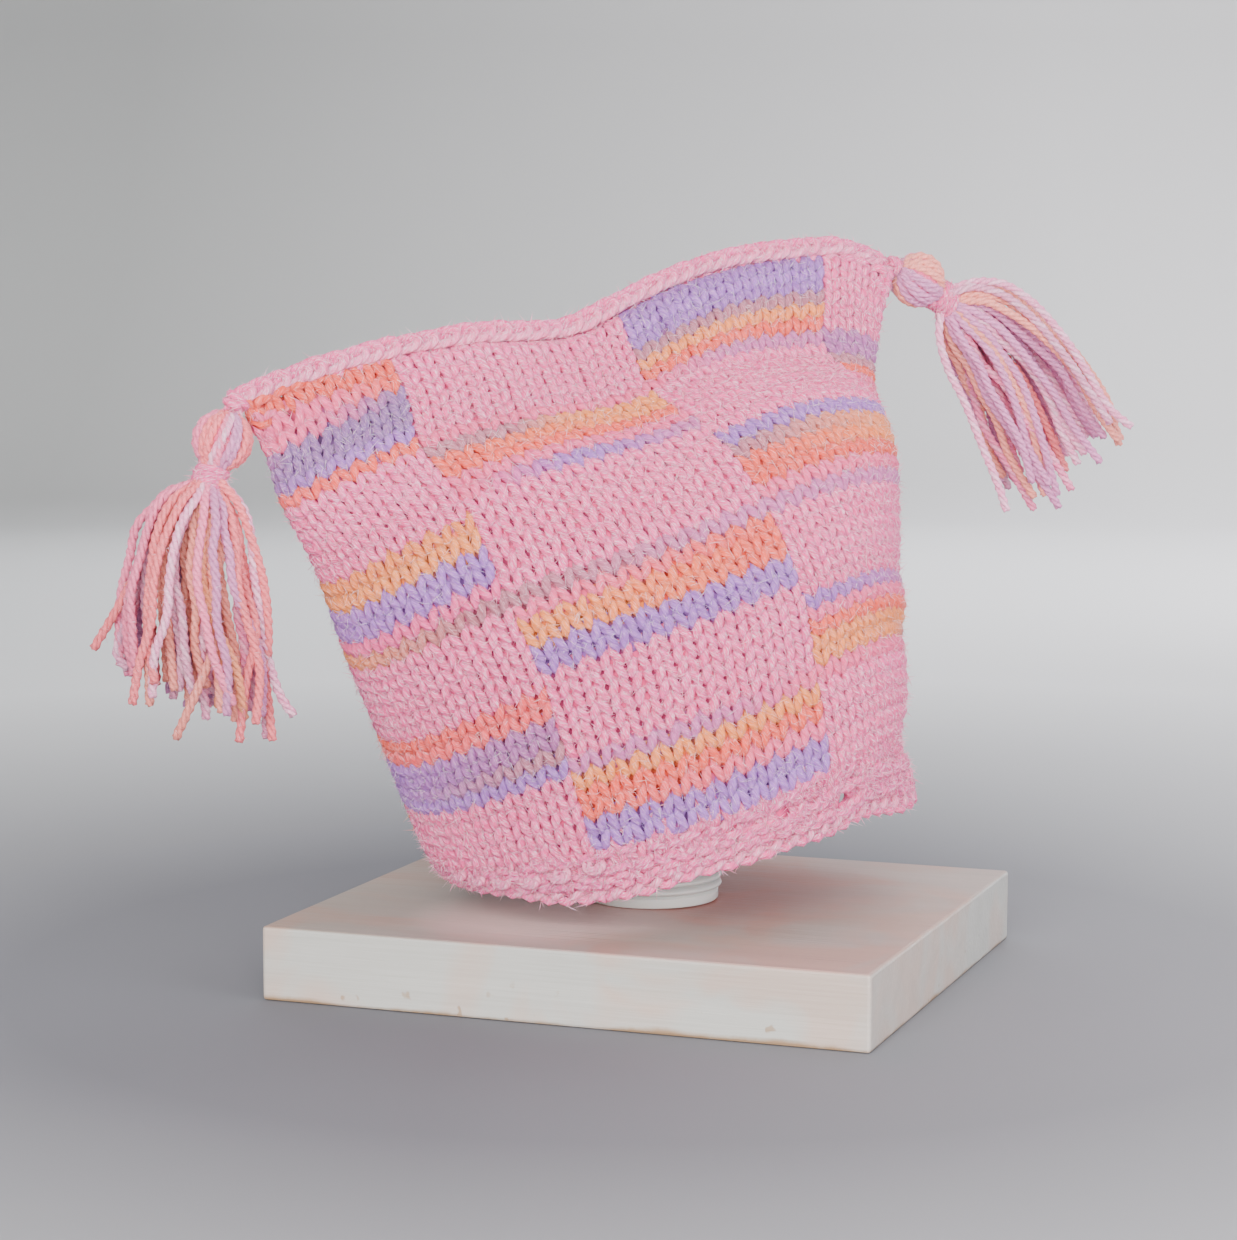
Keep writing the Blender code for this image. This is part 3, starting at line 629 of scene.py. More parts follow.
def knitCrown():
    random = np.random.default_rng(72)
    how = {"high": knit["high"], "deep": knit["deep"], "inset": knit["inset"], "front": 1.0,
           "radius": knit["radius"], "holes": knit["holes"], "sideways": knit["sideways"], "uneven": 1.0,
           "wander": False}
    for side, columns in (("front", blocks[:3]), ("back", blocks[3:])):
        pinkBag, mixedBag = newBag(), newBag()
        for first, last, chart in columns:
            for row, names in enumerate(chart.split(";")):
                names = names.split()
                bag = pinkBag if names[0] == "pink" else mixedBag
                knitRun(bag, first, last, row + 0.5, names, random, how)
        emptyBag(pinkBag, "knit_pink_" + side, knitYarn, "pink_yarn", "knit_crown")
        emptyBag(mixedBag, "knit_mixed_" + side, knitYarn, "mixed_yarn", "knit_crown")


def knitHem():
    random = np.random.default_rng(8)
    bag = newBag()
    for row in range(hat["hemRows"]):
        purl = row % 2 == 0 and row < hat["hemRows"] - 1
        how = {"high": hem["high"], "deep": hem["deep"], "radius": hem["radius"],
               "sideways": hem["sideways"], "uneven": hem["uneven"], "wander": True,
               "front": -1.0 if purl else 1.0, "holes": hem["holes"],
               "inset": hem["inset"] + (-hem["relief"] if purl else hem["relief"])}
        for first in range(0, hat["stitches"], hem["runStitches"]):
            first += blocks[0][0] + 0.5 * (row % 2)
            last = first + hem["runStitches"]
            knitRun(bag, first, last, row + 0.5 - hat["hemRows"], ["pink"], random, how)
    # cast-on edge: one yarn winding along the opening
    turn = np.arange(hat["stitches"] * castOn["steps"] + 1) / castOn["steps"]
    angle = 2 * np.pi * turn
    edge = -hat["hemRows"] - castOn["below"] + castOn["swing"] * np.sin(angle)
    edge, out = hemDrift(turn, edge, castOn["deep"] * np.cos(angle), 0)
    point, normal = onHat(turn, roundToUp(edge), out - castOn["inset"])
    colour = blockDye(["pink"], turn / hat["stitches"], random)
    colour[:, :3] = paler(colour[:, :3], castOn["pale"])
    addTube(bag, point, normal, castOn["radius"], colour, knit["sides"], hairs=("knit", random))
    for stitch, row in hem["knobs"]:
        for size in knob["sizes"]:
            turn = np.radians(np.linspace(knob["from"], knob["to"], knob["points"]))
            turn = turn + knob["uneven"] * random.standard_normal()
            point, normal = onHat(stitch + knob["wide"] * size * np.cos(turn),
                                  roundToUp(row + knob["high"] * size * np.sin(turn)),
                                  knob["proud"] - knob["deep"] * np.sin(turn))
            colour = blockDye(["pink"], turn, random)
            colour[:, :3] = paler(colour[:, :3], knob["pale"])
            addTube(bag, point, normal, knob["radius"], colour, knit["sides"], hairs=("knit", random))
    emptyBag(bag, "knit_hem", knitYarn, "pink_yarn", "garter_hem")


knitCrown()
knitHem()

# lining: painted shade, a dark sheet for the shadowed middle of the cloth, seen only through the
# stitches' gaps

lining = {
    "depth": 0.0021,
    "thick": 0.0002,
    "columns": 144, "rows": 44,
    "below": 0.6, "above": 0.2,    # rounds by which it stops short of the opening and the top edge
    "shade": (0.21, 0.72),    # painted shade: its darkness behind the middle of each stitch, and between stitches
    "hole": (39, 43, 1, 3),   # columns and rows left open where the photo shows light through the hem
}


def liningFaces():
    # the squares of both shells, and the rims that join them at the ends and round the hole
    columns, rows = lining["columns"], lining["rows"]
    offset = rows * columns
    i, j = np.meshgrid(np.arange(columns), np.arange(rows - 1))
    k = (i + 1) % columns
    outer = np.stack([j * columns + i, j * columns + k, (j + 1) * columns + k, (j + 1) * columns + i], -1)
    inner = outer[..., ::-1] + offset
    rims = []
    for base, flip in ((0, True), ((rows - 1) * columns, False)):
        a = base + np.arange(columns)
        b = base + (np.arange(columns) + 1) % columns
        rim = np.stack([a, b, b + offset, a + offset], -1)
        rims.append(rim[:, ::-1] if flip else rim)
    left, right, foot, top = lining["hole"]
    kept = (i < left) | (i >= right) | (j < foot) | (j >= top)
    edge = [(foot, c, foot, c + 1) for c in range(left, right)]
    edge += [(r, right, r + 1, right) for r in range(foot, top)]
    edge += [(top, c, top, c - 1) for c in range(right, left, -1)]
    edge += [(r, left, r - 1, left) for r in range(top, foot, -1)]
    for a, b, c, d in edge:
        first, second = a * columns + b, c * columns + d
        rims.append(np.array([[second + offset, first + offset, first, second]]))
    return np.concatenate([outer[kept], inner[kept]] + rims)


def liningColours(stitches, rounds):
    # the chart's dyes, darkened as painted shade
    start = blocks[0][0]
    colour = np.ones((len(rounds), len(stitches), 4))
    for column, stitch in enumerate(stitches):
        place = (stitch - start) % hat["stitches"] + start
        first, last, chart = next(block for block in blocks if block[0] <= place < block[1])
        names = chart.split(";")
        share = (place - first) / (last - first)
        for row, round_ in enumerate(rounds):
            which = names[min(int(round_), hat["rounds"] - 1)].split() if round_ > 0 else ["pink"]
            colour[row, column, :3] = dye[which[min(int(share * len(which)), len(which) - 1)]]
    colour[:, 0::2, :3] *= lining["shade"][0]
    colour[:, 1::2, :3] *= lining["shade"][1]
    return colour.reshape(-1, 4)


def makeLining():
    stitches = np.arange(lining["columns"]) / lining["columns"] * hat["stitches"]
    low, high = lining["below"] - hat["hemRows"], hat["rounds"] - lining["above"]
    rounds = np.linspace(low, high, lining["rows"])
    s, r = np.meshgrid(stitches, rounds)
    shells = [onHat(s, roundToUp(r), -lining["depth"] - extra)[0] for extra in (0.0, lining["thick"])]
    points = np.concatenate([shell.reshape(-1, 3) for shell in shells])
    faces = liningFaces()
    mesh = meshFrom("knit_lining", points, faces.ravel(), np.full(len(faces), 4))
    dyeMesh(mesh, np.concatenate([liningColours(stitches, rounds)] * 2))
    placePiece("knit_lining", mesh, insideYarn, "pink_yarn", "knit_crown")


makeLining()

# tassels

tassel = {
    "headRadius": 0.0076,
    "neckRadius": 0.0030,
    "tieWidth": 0.0046,
    "tieGap": 0.0003,         # between the head and the tie
    "skirt": 0.0660,
    "skirtFrom": 0.0024,      # its middle line starts this far past the middle of the tie
    "bend": 0.40, "droop": 0.30, "arch": 0.06,
    "strandRadius": 0.00125,
    "plyRadius": 0.00072,
    "plyTurn": 0.0076,        # length of one turn of the plies
    "plySteps": 8,            # tube steps in one turn
    "plySides": 4,
    "strands": 50,
    "onHead": 20,             # those that come over the head
    "apart": 2.39996,         # golden angle from one strand to the next, in radians
    "spread": (0.05, 1.08),   # unevenness of their distance from the middle line, and the most
    "short": 0.12,            # their lengths differ by up to this share
    "shorter": (0.25, 0.08),  # share of them that are shorter still, and by how much
    "places": [0.0, 0.03, 0.07, 0.14, 0.25, 0.40, 0.58, 0.78, 1.0],   # where a strand's path is set
    "stray": 0.42,            # how far its end turns away round the middle line, in radians
    "drift": 0.0009,
    # share of the skirt, distance of the outermost strands from its middle line
    "fan": [(0.0, 0.0026), (0.03, 0.0062), (0.07, 0.0092), (0.14, 0.0115), (0.35, 0.0150),
            (0.70, 0.0182), (1.0, 0.0192)],
    "overHead": (12, 148, 9),      # degrees from the head's top, first and last, and points between
    "swirl": 0.0011,
    "neck": (0.0021, -0.0012, 0.0010),    # strands under the tie: from the axis, and two places along it
    "seenFrom": -0.2,         # strands further back than this take the dyes of the back
    "uneven": 0.35,           # how far from its own place in the order a strand takes its dye
    # dyes: share of the pale ply in each, and in the marled ones
    "pale": 0.14,
    "marl": {"pale": 0.65, "pink": 0.4, "grey": 0.45},
    "plainMarl": 0.15,
}
bundle = {
    "ends": 0.82, "points": 9,     # its ends from the head's middle, in head radii
    "under": 0.0014,          # its surface under the head's
    "neck": (0.0022, 0.003),  # radius and length
    "shade": ("salmon", 0.8, 0.2),     # dye, darkness as painted shade inside the head, pale flecks
    "sides": 10,
}
tieYarn = {
    "radius": 0.00100, "sides": 8,
    "points": 90,
    "from": 0.8,              # radians
    "uneven": (0.0002, 5),    # metres, and radians of the wave in each turn
    "tuck": (0.2, 0.009),     # last share of a turn, which goes in by so much for each turn
}

tassels = {
    "left": {
        "seed": 11,
        "tieLean": 69, "skirtLean": 87, "reach": 0.88, "across": (1.0, 0.0),
        "slant": 0.15,        # strands on the photo's right side end lower
        # dyes from the photo's left side to its right
        "order": ["pale", "grey", "coral", "sand", "grey", "sand", "pale", "yellow", "sand", "pale",
                  "grey", "coral"],
        "head": ["salmon", "coral", "pale", "salmon", "lilac", "coral"],
        "back": ["pale", "grey", "lilac", "purple", "pink"],
        "fade": 0.26,         # painted shade: darkness of the ends, in the shade of the hat
        "tie": (0.0033, 0.0046, 3.6),      # radius, width, turns
        # single strands that stand away: dye, then places in millimetres from the tie, as right,
        # down and towards the viewer
        "strays": [
            ("coral", [(-2, 0, 2), (-9, 8, 4), (-17, 22, 5), (-22.5, 32, 5), (-28, 41, 5)]),
            ("grey", [(-2, 0, 0), (-10, 5, 3), (-16, 22, 3), (-21, 36, 3), (-22.5, 43, 3), (-20, 46, 4)]),
            ("pale", [(2, 0, 1), (8, 7, 2), (11, 25, 3), (14, 44, 3), (17.5, 54, 3), (20, 57.5, 3)]),
            ("coral", [(2, 0, 2), (7, 6, 3), (10, 14, 3), (13, 25, 3), (14, 38, 3), (13.5, 47, 3)]),
        ],
    },
    "right": {
        "seed": 23,
        "tieLean": 31, "skirtLean": 50, "reach": 1.00, "across": (0.72, 0.69),
        "slant": -0.02,
        "order": ["pale", "pink", "coral", "pink", "pink", "sand", "coral", "pale", "lilac", "lilac",
                  "grey", "pale"],
        "head": ["sand", "lilac", "salmon", "lilac", "sand", "sand"],
        "back": ["pale", "pink", "lilac", "grey", "pink"],
        "fade": 0.0,
        "tie": (0.0037, 0.0056, 4.4),
        "strays": [
            ("pale", [(1, -2, 1), (9, -4.5, 2), (16, -4, 2), (23, 0, 2), (31, 8, 2), (39, 19, 2),
                      (47, 31, 2), (52, 35, 2)]),
            ("grey", [(1, -1, 3), (8, -3, 3), (16, -1, 3), (24, 5, 3), (32, 14, 3), (40, 25, 3),
                      (46, 34, 3)]),
            ("pale", [(0, 2, 1), (-1, 9, 2), (1, 18, 3), (6, 28, 3), (11, 40, 3), (16, 52, 3),
                      (18, 58, 3)]),
        ],
    },
}


def leaning(side, degrees):
    # outward from one corner of the hat, so many degrees below level
    outward = -1 if side == "left" else 1
    angle = math.radians(degrees)
    c, s = math.cos(hat["turn"]), math.sin(hat["turn"])
    across = outward * math.cos(angle)
    return np.array([c * across, s * across, -math.sin(angle)])


def throughPoints(points, count):
    # evenly spaced points of a smooth line through a few places
    points = np.asarray(points, float)
    run = runAlong(points)
    fine = np.linspace(0, run[-1], count)
    return np.stack([smoothThrough(run, points[:, k], fine) for k in range(3)], -1)


def makeStrand(bag, path, dyeName, random, fade):
    # a worsted strand: three plies winding round its path, darker towards its end as painted shade
    path = throughPoints(path, 120)
    length = runAlong(path)
    steps = max(int(length[-1] / tassel["plyTurn"] * tassel["plySteps"]), 12)
    place = np.linspace(0, length[-1], steps + 1)
    point = pointsAt(place, length, path)
    along = unit(np.gradient(point, axis=0))
    side = unit(np.cross(along, np.array([0.31, 0.87, 0.38])))    # no strand runs this way
    front = np.cross(side, along)
    marled = tassel["marl"].get(dyeName, 0.0)
    base = paler(dye[dyeName], tassel["pale"]) * (1 + knit["dyeing"] * random.standard_normal())
    start = random.uniform(0, 2 * np.pi)
    for ply in range(3):
        angle = start + ply * 2 * np.pi / 3 + place / tassel["plyTurn"] * 2 * np.pi
        offset = np.cos(angle)[:, None] * side + np.sin(angle)[:, None] * front
        shade = paler(base, marled * 0.5 if ply == 0 else 0.0)
        # painted shade: darker towards the strand's end
        shade = shade[None] * (1 - fade * (place / place[-1])[:, None])
        flecks = np.full(len(place), marled or tassel["plainMarl"])
        addTube(bag, point + offset * (tassel["strandRadius"] - tassel["plyRadius"]), offset,
                tassel["plyRadius"], np.column_stack([np.clip(shade, 0, 1), flecks]), tassel["plySides"],
                twistFrom=random.uniform(0, yarnLook["startWithin"]), hairs=("tassel", random))


def tasselPlace(side):
    # middle of the tie, direction from head to tie, and middle of the head
    low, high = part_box("tie_" + side)
    tie = np.array((Vector(low) + Vector(high)) / 2)
    axis = leaning(side, tassels[side]["tieLean"])
    drop = math.sqrt(tassel["headRadius"] ** 2 - tassel["neckRadius"] ** 2) + tassel["tieGap"]
    return tie, axis, tie - axis * (drop + tassel["tieWidth"] / 2)


def squareTo(axis):
    # two directions square to an axis and to each other, the first one level
    sideways = unit(np.cross(axis, straightUp))
    return sideways, np.cross(axis, sideways)


def skirtLine(side, look):
    # middle line of the skirt, which leaves the tie along its axis and droops to its end
    tie, axis = tasselPlace(side)[:2]
    end = tie + leaning(side, look["skirtLean"]) * look["reach"] * tassel["skirt"]
    start = tie + axis * tassel["skirtFrom"]
    span = end - start
    length = np.linalg.norm(span)
    knots = [start, start + axis * length * tassel["bend"],
             end - span * tassel["droop"] + straightUp * length * tassel["arch"], end]

    def spine(share):
        t = np.asarray(share)[..., None]
        return (knots[0] * (1 - t) ** 3 + knots[1] * 3 * t * (1 - t) ** 2
                + knots[2] * 3 * t * t * (1 - t) + knots[3] * t ** 3)

    return spine


def overHead(side, radial, random):
    # a strand's way over the head and down through the tie
    tie, axis, head = tasselPlace(side)
    theta = np.radians(np.linspace(*tassel["overHead"]))[:, None]
    size = tassel["headRadius"] - tassel["strandRadius"] * 0.95
    over = head - axis * size * np.cos(theta) + radial * size * np.sin(theta)
    swirl = np.cross(axis, radial) * tassel["swirl"]
    over = over + swirl * np.sin(theta * 1.3) * random.standard_normal()
    away, before, after = tassel["neck"]
    return [over, tie + radial * away + axis * np.array([[before], [after]])]


def makeTassel(side, look):
    random = np.random.default_rng(look["seed"])
    tie, axis, head = tasselPlace(side)
    sideways, other = squareTo(axis)
    spine = skirtLine(side, look)
    acrossPhoto = photoRight * look["across"][0] + straightUp * look["across"][1]
    bag = newBag()
    count = tassel["strands"]
    for index in range(count):
        onHead = index >= count - tassel["onHead"]
        angle = 2 * math.pi * (index - count) / tassel["onHead"] if onHead else index * tassel["apart"]
        radial = sideways * math.cos(angle) + other * math.sin(angle)
        uneven, most = tassel["spread"]
        spread = min(math.sqrt((index + 0.5) / count) + uneven * random.standard_normal(), most)
        slant = look["slant"] * float(radial @ acrossPhoto) * spread
        reach = 1.0 + slant - tassel["short"] * random.random()
        chance, shorter = tassel["shorter"]
        reach -= shorter if random.random() < chance else 0.0
        share = np.array(tassel["places"]) * reach
        here = spine(share)
        along = unit(spine(share + 0.02) - here)
        first = unit(sideways - along * (along @ sideways)[:, None])
        second = np.cross(along, first)
        stray = tassel["stray"] * random.standard_normal() * share ** 1.5
        ring = smoothThrough(*zip(*tassel["fan"]), share) * spread
        drift = random.standard_normal((len(share), 2)) * tassel["drift"] * share[:, None] ** 0.5
        outward = first * np.cos(angle + stray)[:, None] + second * np.sin(angle + stray)[:, None]
        skirt = here + outward * ring[:, None] + first * drift[:, :1] + second * drift[:, 1:]
        path = overHead(side, radial, random) + [skirt[1:]] if onHead else [skirt]
        # its dye goes by where its middle stands in the photo
        across = float(outward[4] @ acrossPhoto) * spread
        nearness = float(outward[4] @ photoToward) * spread
        if nearness > tassel["seenFrom"]:
            choice = look["head"] if onHead else look["order"]
            place = (across + 1) / 2 * len(choice) + random.uniform(-tassel["uneven"], tassel["uneven"])
            name = choice[int(np.clip(place, 0, len(choice) - 1))]
        else:
            name = look["back"][index % len(look["back"])]
        makeStrand(bag, np.concatenate(path), name, random, look["fade"])
    for name, places in look["strays"]:
        path = [tie + photoRight * right * 0.001 - straightUp * down * 0.001
                + photoToward * toward * 0.001 for right, down, toward in places]
        makeStrand(bag, np.array(path), name, random, look["fade"])
    # the bundle inside the head and neck, seen only between the strands, darkened as painted shade
    places = np.linspace(bundle["ends"], -bundle["ends"], bundle["points"])
    neckRadius, neckLong = bundle["neck"]
    core = [head - axis * tassel["headRadius"] * place for place in places] + [tie, tie + axis * neckLong]
    wide = [math.sqrt(1 - place * place) * (tassel["headRadius"] - bundle["under"]) for place in places]
    name, dark, flecks = bundle["shade"]
    addTube(bag, np.array(core), sideways, np.array(wide + [neckRadius] * 2),
            np.append(dye[name] * dark, flecks)[None], bundle["sides"])
    emptyBag(bag, "tassel_yarn_" + side, strandYarn, "mixed_yarn", "tassel_" + side)
    windTie(side, look, random)


def windTie(side, look, random):
    # pink yarn wound round the neck and tucked in
    tie, axis = tasselPlace(side)[:2]
    sideways, other = squareTo(axis)
    bag = newBag()
    size, width, turns = look["tie"]
    turn = np.linspace(0, turns, tieYarn["points"])
    angle = turn * 2 * np.pi + tieYarn["from"]
    height = (turn / turns - 0.5) * width
    radial = sideways * np.cos(angle)[:, None] + other * np.sin(angle)[:, None]
    uneven, waves = tieYarn["uneven"]
    size = size + uneven * np.sin(turn * waves)
    tuck, inward = tieYarn["tuck"]
    size = np.where(turn > turns - tuck, size - (turn - turns + tuck) * inward, size)
    path = tie + axis * height[:, None] + radial * size[:, None]
    colour = blockDye(["pink"], turn, random)
    addTube(bag, path, radial, tieYarn["radius"], colour, tieYarn["sides"], hairs=("knit", random))
    emptyBag(bag, "tie_yarn_" + side, knitYarn, "pink_yarn", "tie_" + side)


for side, look in tassels.items():
    makeTassel(side, look)

# bind-off chain along the top edge

chain = {
    "linkPitch": 0.0050,
    "linkLength": 1.62,       # in pitches
    "uneven": 0.09,           # unevenness of a link's length and width, as a share
    "tossed": 0.001,          # and of its height, in metres for a share of 1
    "blunt": 1.15,            # how round its tip is
    "halfWidth": 0.00205,
    "open": (0.45, 0.85),     # share of the half width at its ends, and what its tip adds
    "high": 0.0011, "low": 0.0008,     # its tip lies on the next link, its ends under the last one
    "radius": 0.00122,
    "sides": 7,
    "steps": 20,
    "pale": 0.2,              # painted highlight: its lower leg is made paler, as if catching more light, from the plain dye to the pale ply
    "rise": 0.0026,           # chain's middle above the crown's top edge
    "tilt": math.radians(62),      # the chain's flat side turned from straight up to the front
    "thin": [(0.0, 0.95), (0.08, 1.0), (0.85, 1.0), (1.0, 0.72)],   # its width from left to right
    "intoHead": 0.0010,       # its ends reach so far into the tassels' heads
}
# the core's shade is painted shade: its dye darkened under the links
chainCore = {"radius": 0.0019, "sides": 8, "points": 160, "under": 0.0009, "shade": 0.85}
cord = {
    "from": 0.0020, "before": 0.0040,    # starts of the two from the chain's ends
    "turns": 1.6, "startTurn": 1.0,
    "pitch": 0.0016,
    "size": 0.00252,          # radius of its turns
    "radius": 0.00105, "points": 40,
}


def chainLine(count):
    # middle of the chain from one tassel's head along the top edge to the other's
    shares = np.linspace(0, 0.5, 60)
    middle = (hatPoints(shares, 1.0) + hatPoints(1.0 - shares, 1.0)) / 2
    along = unit(np.gradient(middle, axis=0))
    square = unit(np.stack([-along[:, 2], np.zeros(len(shares)), along[:, 0]], -1))
    line = toBoard(middle + square * chain["rise"])
    ends = []
    for side in tassels:
        axis, head = tasselPlace(side)[1:]
        ends.append(head - axis * (tassel["headRadius"] - chain["intoHead"]))
    return throughPoints(np.concatenate([ends[:1], line[3:-3:2], ends[1:]]), count)


def makeChain():
    random = np.random.default_rng(5)
    middle = chainLine(400)
    run = runAlong(middle)
    along = unit(np.gradient(middle, axis=0))
    frontWard = toBoard(np.array([0.0, -1.0, 0.0])) - hat["middle"]

    def onSeam(place, across, out):
        # place along the chain, across it towards its front edge, and out of its face
        base = pointsAt(place, run, middle)
        up = unit(np.cross(frontWard, unit(pointsAt(place, run, along))))
        face = up * math.cos(chain["tilt"]) + frontWard * math.sin(chain["tilt"])
        width = frontWard * math.cos(chain["tilt"]) - up * math.sin(chain["tilt"])
        size = np.interp(place / run[-1], *zip(*chain["thin"]))[..., None]
        return base + width * across[..., None] * size + face * out[..., None] * size, face

    bag = newBag()
    links = int(run[-1] / chain["linkPitch"])
    pitch = run[-1] / links
    t = np.linspace(0, 1, chain["steps"] + 1)
    sweep = np.sin(np.pi * t)
    ends, tip = chain["open"]
    for i in range(-1, links):
        wobble = random.standard_normal(3) * chain["uneven"]
        length = chain["linkLength"] * pitch * (1 + wobble[0])
        place = np.clip(i * pitch + length * (1 - (1 - sweep) ** chain["blunt"]), 0, run[-1])
        across = chain["halfWidth"] * (1 + wobble[1]) * np.cos(np.pi * t) * (ends + tip * sweep)
        out = chain["high"] * (sweep ** 2) - chain["low"] * (1 - sweep) + wobble[2] * chain["tossed"]
        point, normal = onSeam(place, across, out)
        colour = blockDye(["pink"], t, random)
        # painted highlight: the lower leg made paler
        colour[:, :3] = paler(colour[:, :3], chain["pale"] * np.clip((0.6 - t) / 0.3, 0, 1)[:, None])
        size = np.interp((i + 0.5) / links, *zip(*chain["thin"]))
        addTube(bag, point, normal, chain["radius"] * size, colour, chain["sides"],
                twistFrom=random.uniform(0, yarnLook["startWithin"]), hairs=("knit", random))
    # the core yarn under the links, darkened as painted shade
    place = np.linspace(0, run[-1], chainCore["points"])
    point, normal = onSeam(place, place * 0, place * 0 - chainCore["under"])
    shade = blockDye(["pink"], place * 0, random)
    shade[:, :3] *= chainCore["shade"]
    addTube(bag, point, normal, chainCore["radius"], shade, chainCore["sides"])
    # the tassels' cords, wound once or twice round the ends
    for start in (cord["from"], run[-1] - cord["before"]):
        turn = np.linspace(0, cord["turns"], cord["points"])
        angle = 2 * np.pi * turn + cord["startTurn"]
        point, normal = onSeam(start + cord["pitch"] * turn, cord["size"] * np.cos(angle),
                               cord["size"] * np.sin(angle))
        addTube(bag, point, normal, cord["radius"], blockDye(["pink"], turn, random), chain["sides"],
                hairs=("knit", random))
    emptyBag(bag, "top_chain", knitYarn, "pink_yarn", "seam_ridge")


makeChain()

# loose fibres: the haze of fine hairs that an acrylic yarn stands in


def makeFuzz(name, roots, slot, long=1.0):
    random = np.random.default_rng(3)
    root, out, along, colour = (np.concatenate(part) for part in zip(*roots))
    count = len(root)
    across = np.cross(out, along)
    turn = random.uniform(0, 2 * np.pi, count)[:, None]
    lie = unit(along * np.cos(turn) + across * np.sin(turn)
               + out * fuzz["lift"] * random.uniform(*fuzz["lifts"], count)[:, None])
    length = (fuzz["length"] * long * random.uniform(*fuzz["lengths"], count))[:, None]
    side = unit(np.cross(lie, out))
    front = np.cross(side, lie)
    foot = root - lie * fuzz["sunk"]
    thick = fuzz["thick"] * long
    # three corners a third of a turn apart at its root, and its tip
    corners = [foot + side * thick, foot + front * thick * 0.87 - side * thick * 0.5,
               foot - front * thick * 0.87 - side * thick * 0.5, foot + lie * (length + fuzz["sunk"])]
    points = np.stack(corners, 1).reshape(-1, 3)
    first = (np.arange(count) * 4)[:, None]
    sides = ((0, 1, 2), (0, 3, 1), (1, 3, 2), (2, 3, 0))
    faces = np.concatenate([first + np.array([three]) for three in sides])
    mesh = meshFrom(name, points, faces.ravel(), np.full(len(faces), 3))
    # hairs paler than their yarn: partly the pale ply's fibres, partly painted highlight
    shade = paler(colour, random.uniform(*fuzz["paler"], count)[:, None])
    dyeMesh(mesh, np.repeat(np.column_stack([shade, np.ones(count)]), 4, axis=0))
    placePiece(name, mesh, hairYarn, slot)


half = len(hairRoots["knit"]) // 2
makeFuzz("yarn_fuzz_front", hairRoots["knit"][:half], "pink_yarn")
makeFuzz("yarn_fuzz_back", hairRoots["knit"][half:], "pink_yarn")
makeFuzz("tassel_fuzz", hairRoots["tassel"], "mixed_yarn", fuzz["onTassels"])

# ribbed neck: moulded white plastic, with a smooth band at its foot

boardTop = 0.01905            # the board's planed thickness
collar = {
    "radius": 0.0168, "ribRadius": 0.0185,
    "ribs": 10, "pitch": 0.0022, "ribPoints": 8,
    "band": 0.0030, "foot": 0.0173, "rounding": 0.0003, "slope": 0.0006,
    "seat": boardTop + 0.0003,
    "steps": 96,
}


def spinProfile(name, profile, steps):
    # a body turned from its profile of radius and height, spun about Z
    bpy.ops.object.select_all(action="DESELECT")
    mesh = bpy.data.meshes.new(name)
    mesh.from_pydata([(r, 0.0, z) for r, z in profile], [(i, i + 1) for i in range(len(profile) - 1)], [])
    turned = bpy.data.objects.new(name, mesh)
    bpy.context.scene.collection.objects.link(turned)
    bpy.context.view_layer.objects.active = turned
    turned.select_set(True)
    bpy.ops.object.mode_set(mode="EDIT")
    bpy.ops.mesh.select_all(action="SELECT")
    bpy.ops.mesh.spin(steps=steps, angle=2 * math.pi, center=(0, 0, 0), axis=(0, 0, 1))
    bpy.ops.mesh.select_all(action="SELECT")
    bpy.ops.mesh.remove_doubles(threshold=0.00001)
    bpy.ops.mesh.normals_make_consistent(inside=False)
    bpy.ops.object.mode_set(mode="OBJECT")
    bpy.ops.object.shade_smooth_by_angle(angle=math.radians(50))
    turned.select_set(False)
    return turned


def makeCollar():
    wide = collar["foot"] + collar["rounding"]
    profile = [(0.0, 0.0), (collar["foot"], 0.0), (wide, collar["rounding"]),
               (wide, collar["band"] - collar["slope"]), (collar["radius"], collar["band"])]
    for rib in range(collar["ribs"]):
        for k in range(1, collar["ribPoints"] + 1):
            share = k / collar["ribPoints"]
            swell = math.sin(math.pi * share) ** 0.7 if share < 1 else 0.0
            profile.append((collar["radius"] + (collar["ribRadius"] - collar["radius"]) * swell,
                            collar["band"] + (rib + share) * collar["pitch"]))
    profile.append((0.0, profile[-1][1]))
    neck = spinProfile("ribbed_neck", [(r, z + collar["seat"]) for r, z in profile], collar["steps"])
    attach(neck, "root")
    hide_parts("neck_collar")
    return neck


neck = makeCollar()

# hard finishes

paint = {
    "shader": {"Roughness": 0.42, "Specular IOR Level": 0.3, "Coat Weight": 0.06, "Coat Roughness": 0.25},
    # noise scales for each metre; grain and brush marks run along the board
    "grain": (12.0, 150.0, 150.0), "brush": (30.0, 900.0, 900.0),
    "blotch": 38.0, "cream": 22.0, "speck": 210.0,
    "relief": 0.0002,
    "white": ("#A9A7A2", "#B3B2AD"),
    "creamColour": "#B8A094", "creamMost": 0.75,
    "wood": "#94795F",
    # painted shade on the top: darker and warmer towards its left end, and a pink painted shadow round
    # the neck, tinted by the hat's light
    "plain": ("#D6C5BC", "#FFEAE6"), "plainFrom": -0.065, "plainTo": 0.02,
    "paintedHatShade": "#F09A94", "paintedHatShadeAt": (0.005, 0.017, 0.019), "paintedHatShadeFrom": 0.015, "paintedHatShadeTo": 0.075,
    # and painted light, paler and pinker, where it faces the hat's lowest corner: the hat's pink
    # reflection in the paint
    "paintedReflection": "#F2CDC9", "paintedReflectionAt": (-0.016, -0.034, 0.019), "paintedReflectionFrom": 0.010, "paintedReflectionTo": 0.040,
    # bare wood: heights at the lower edge, and knocks that thin out upwards
    "wornFrom": -0.0030, "wornTo": -0.0018, "ragged": -0.006,
    "knock": 0.8, "knocksFrom": 0.012, "knocksTo": 0.003,
}


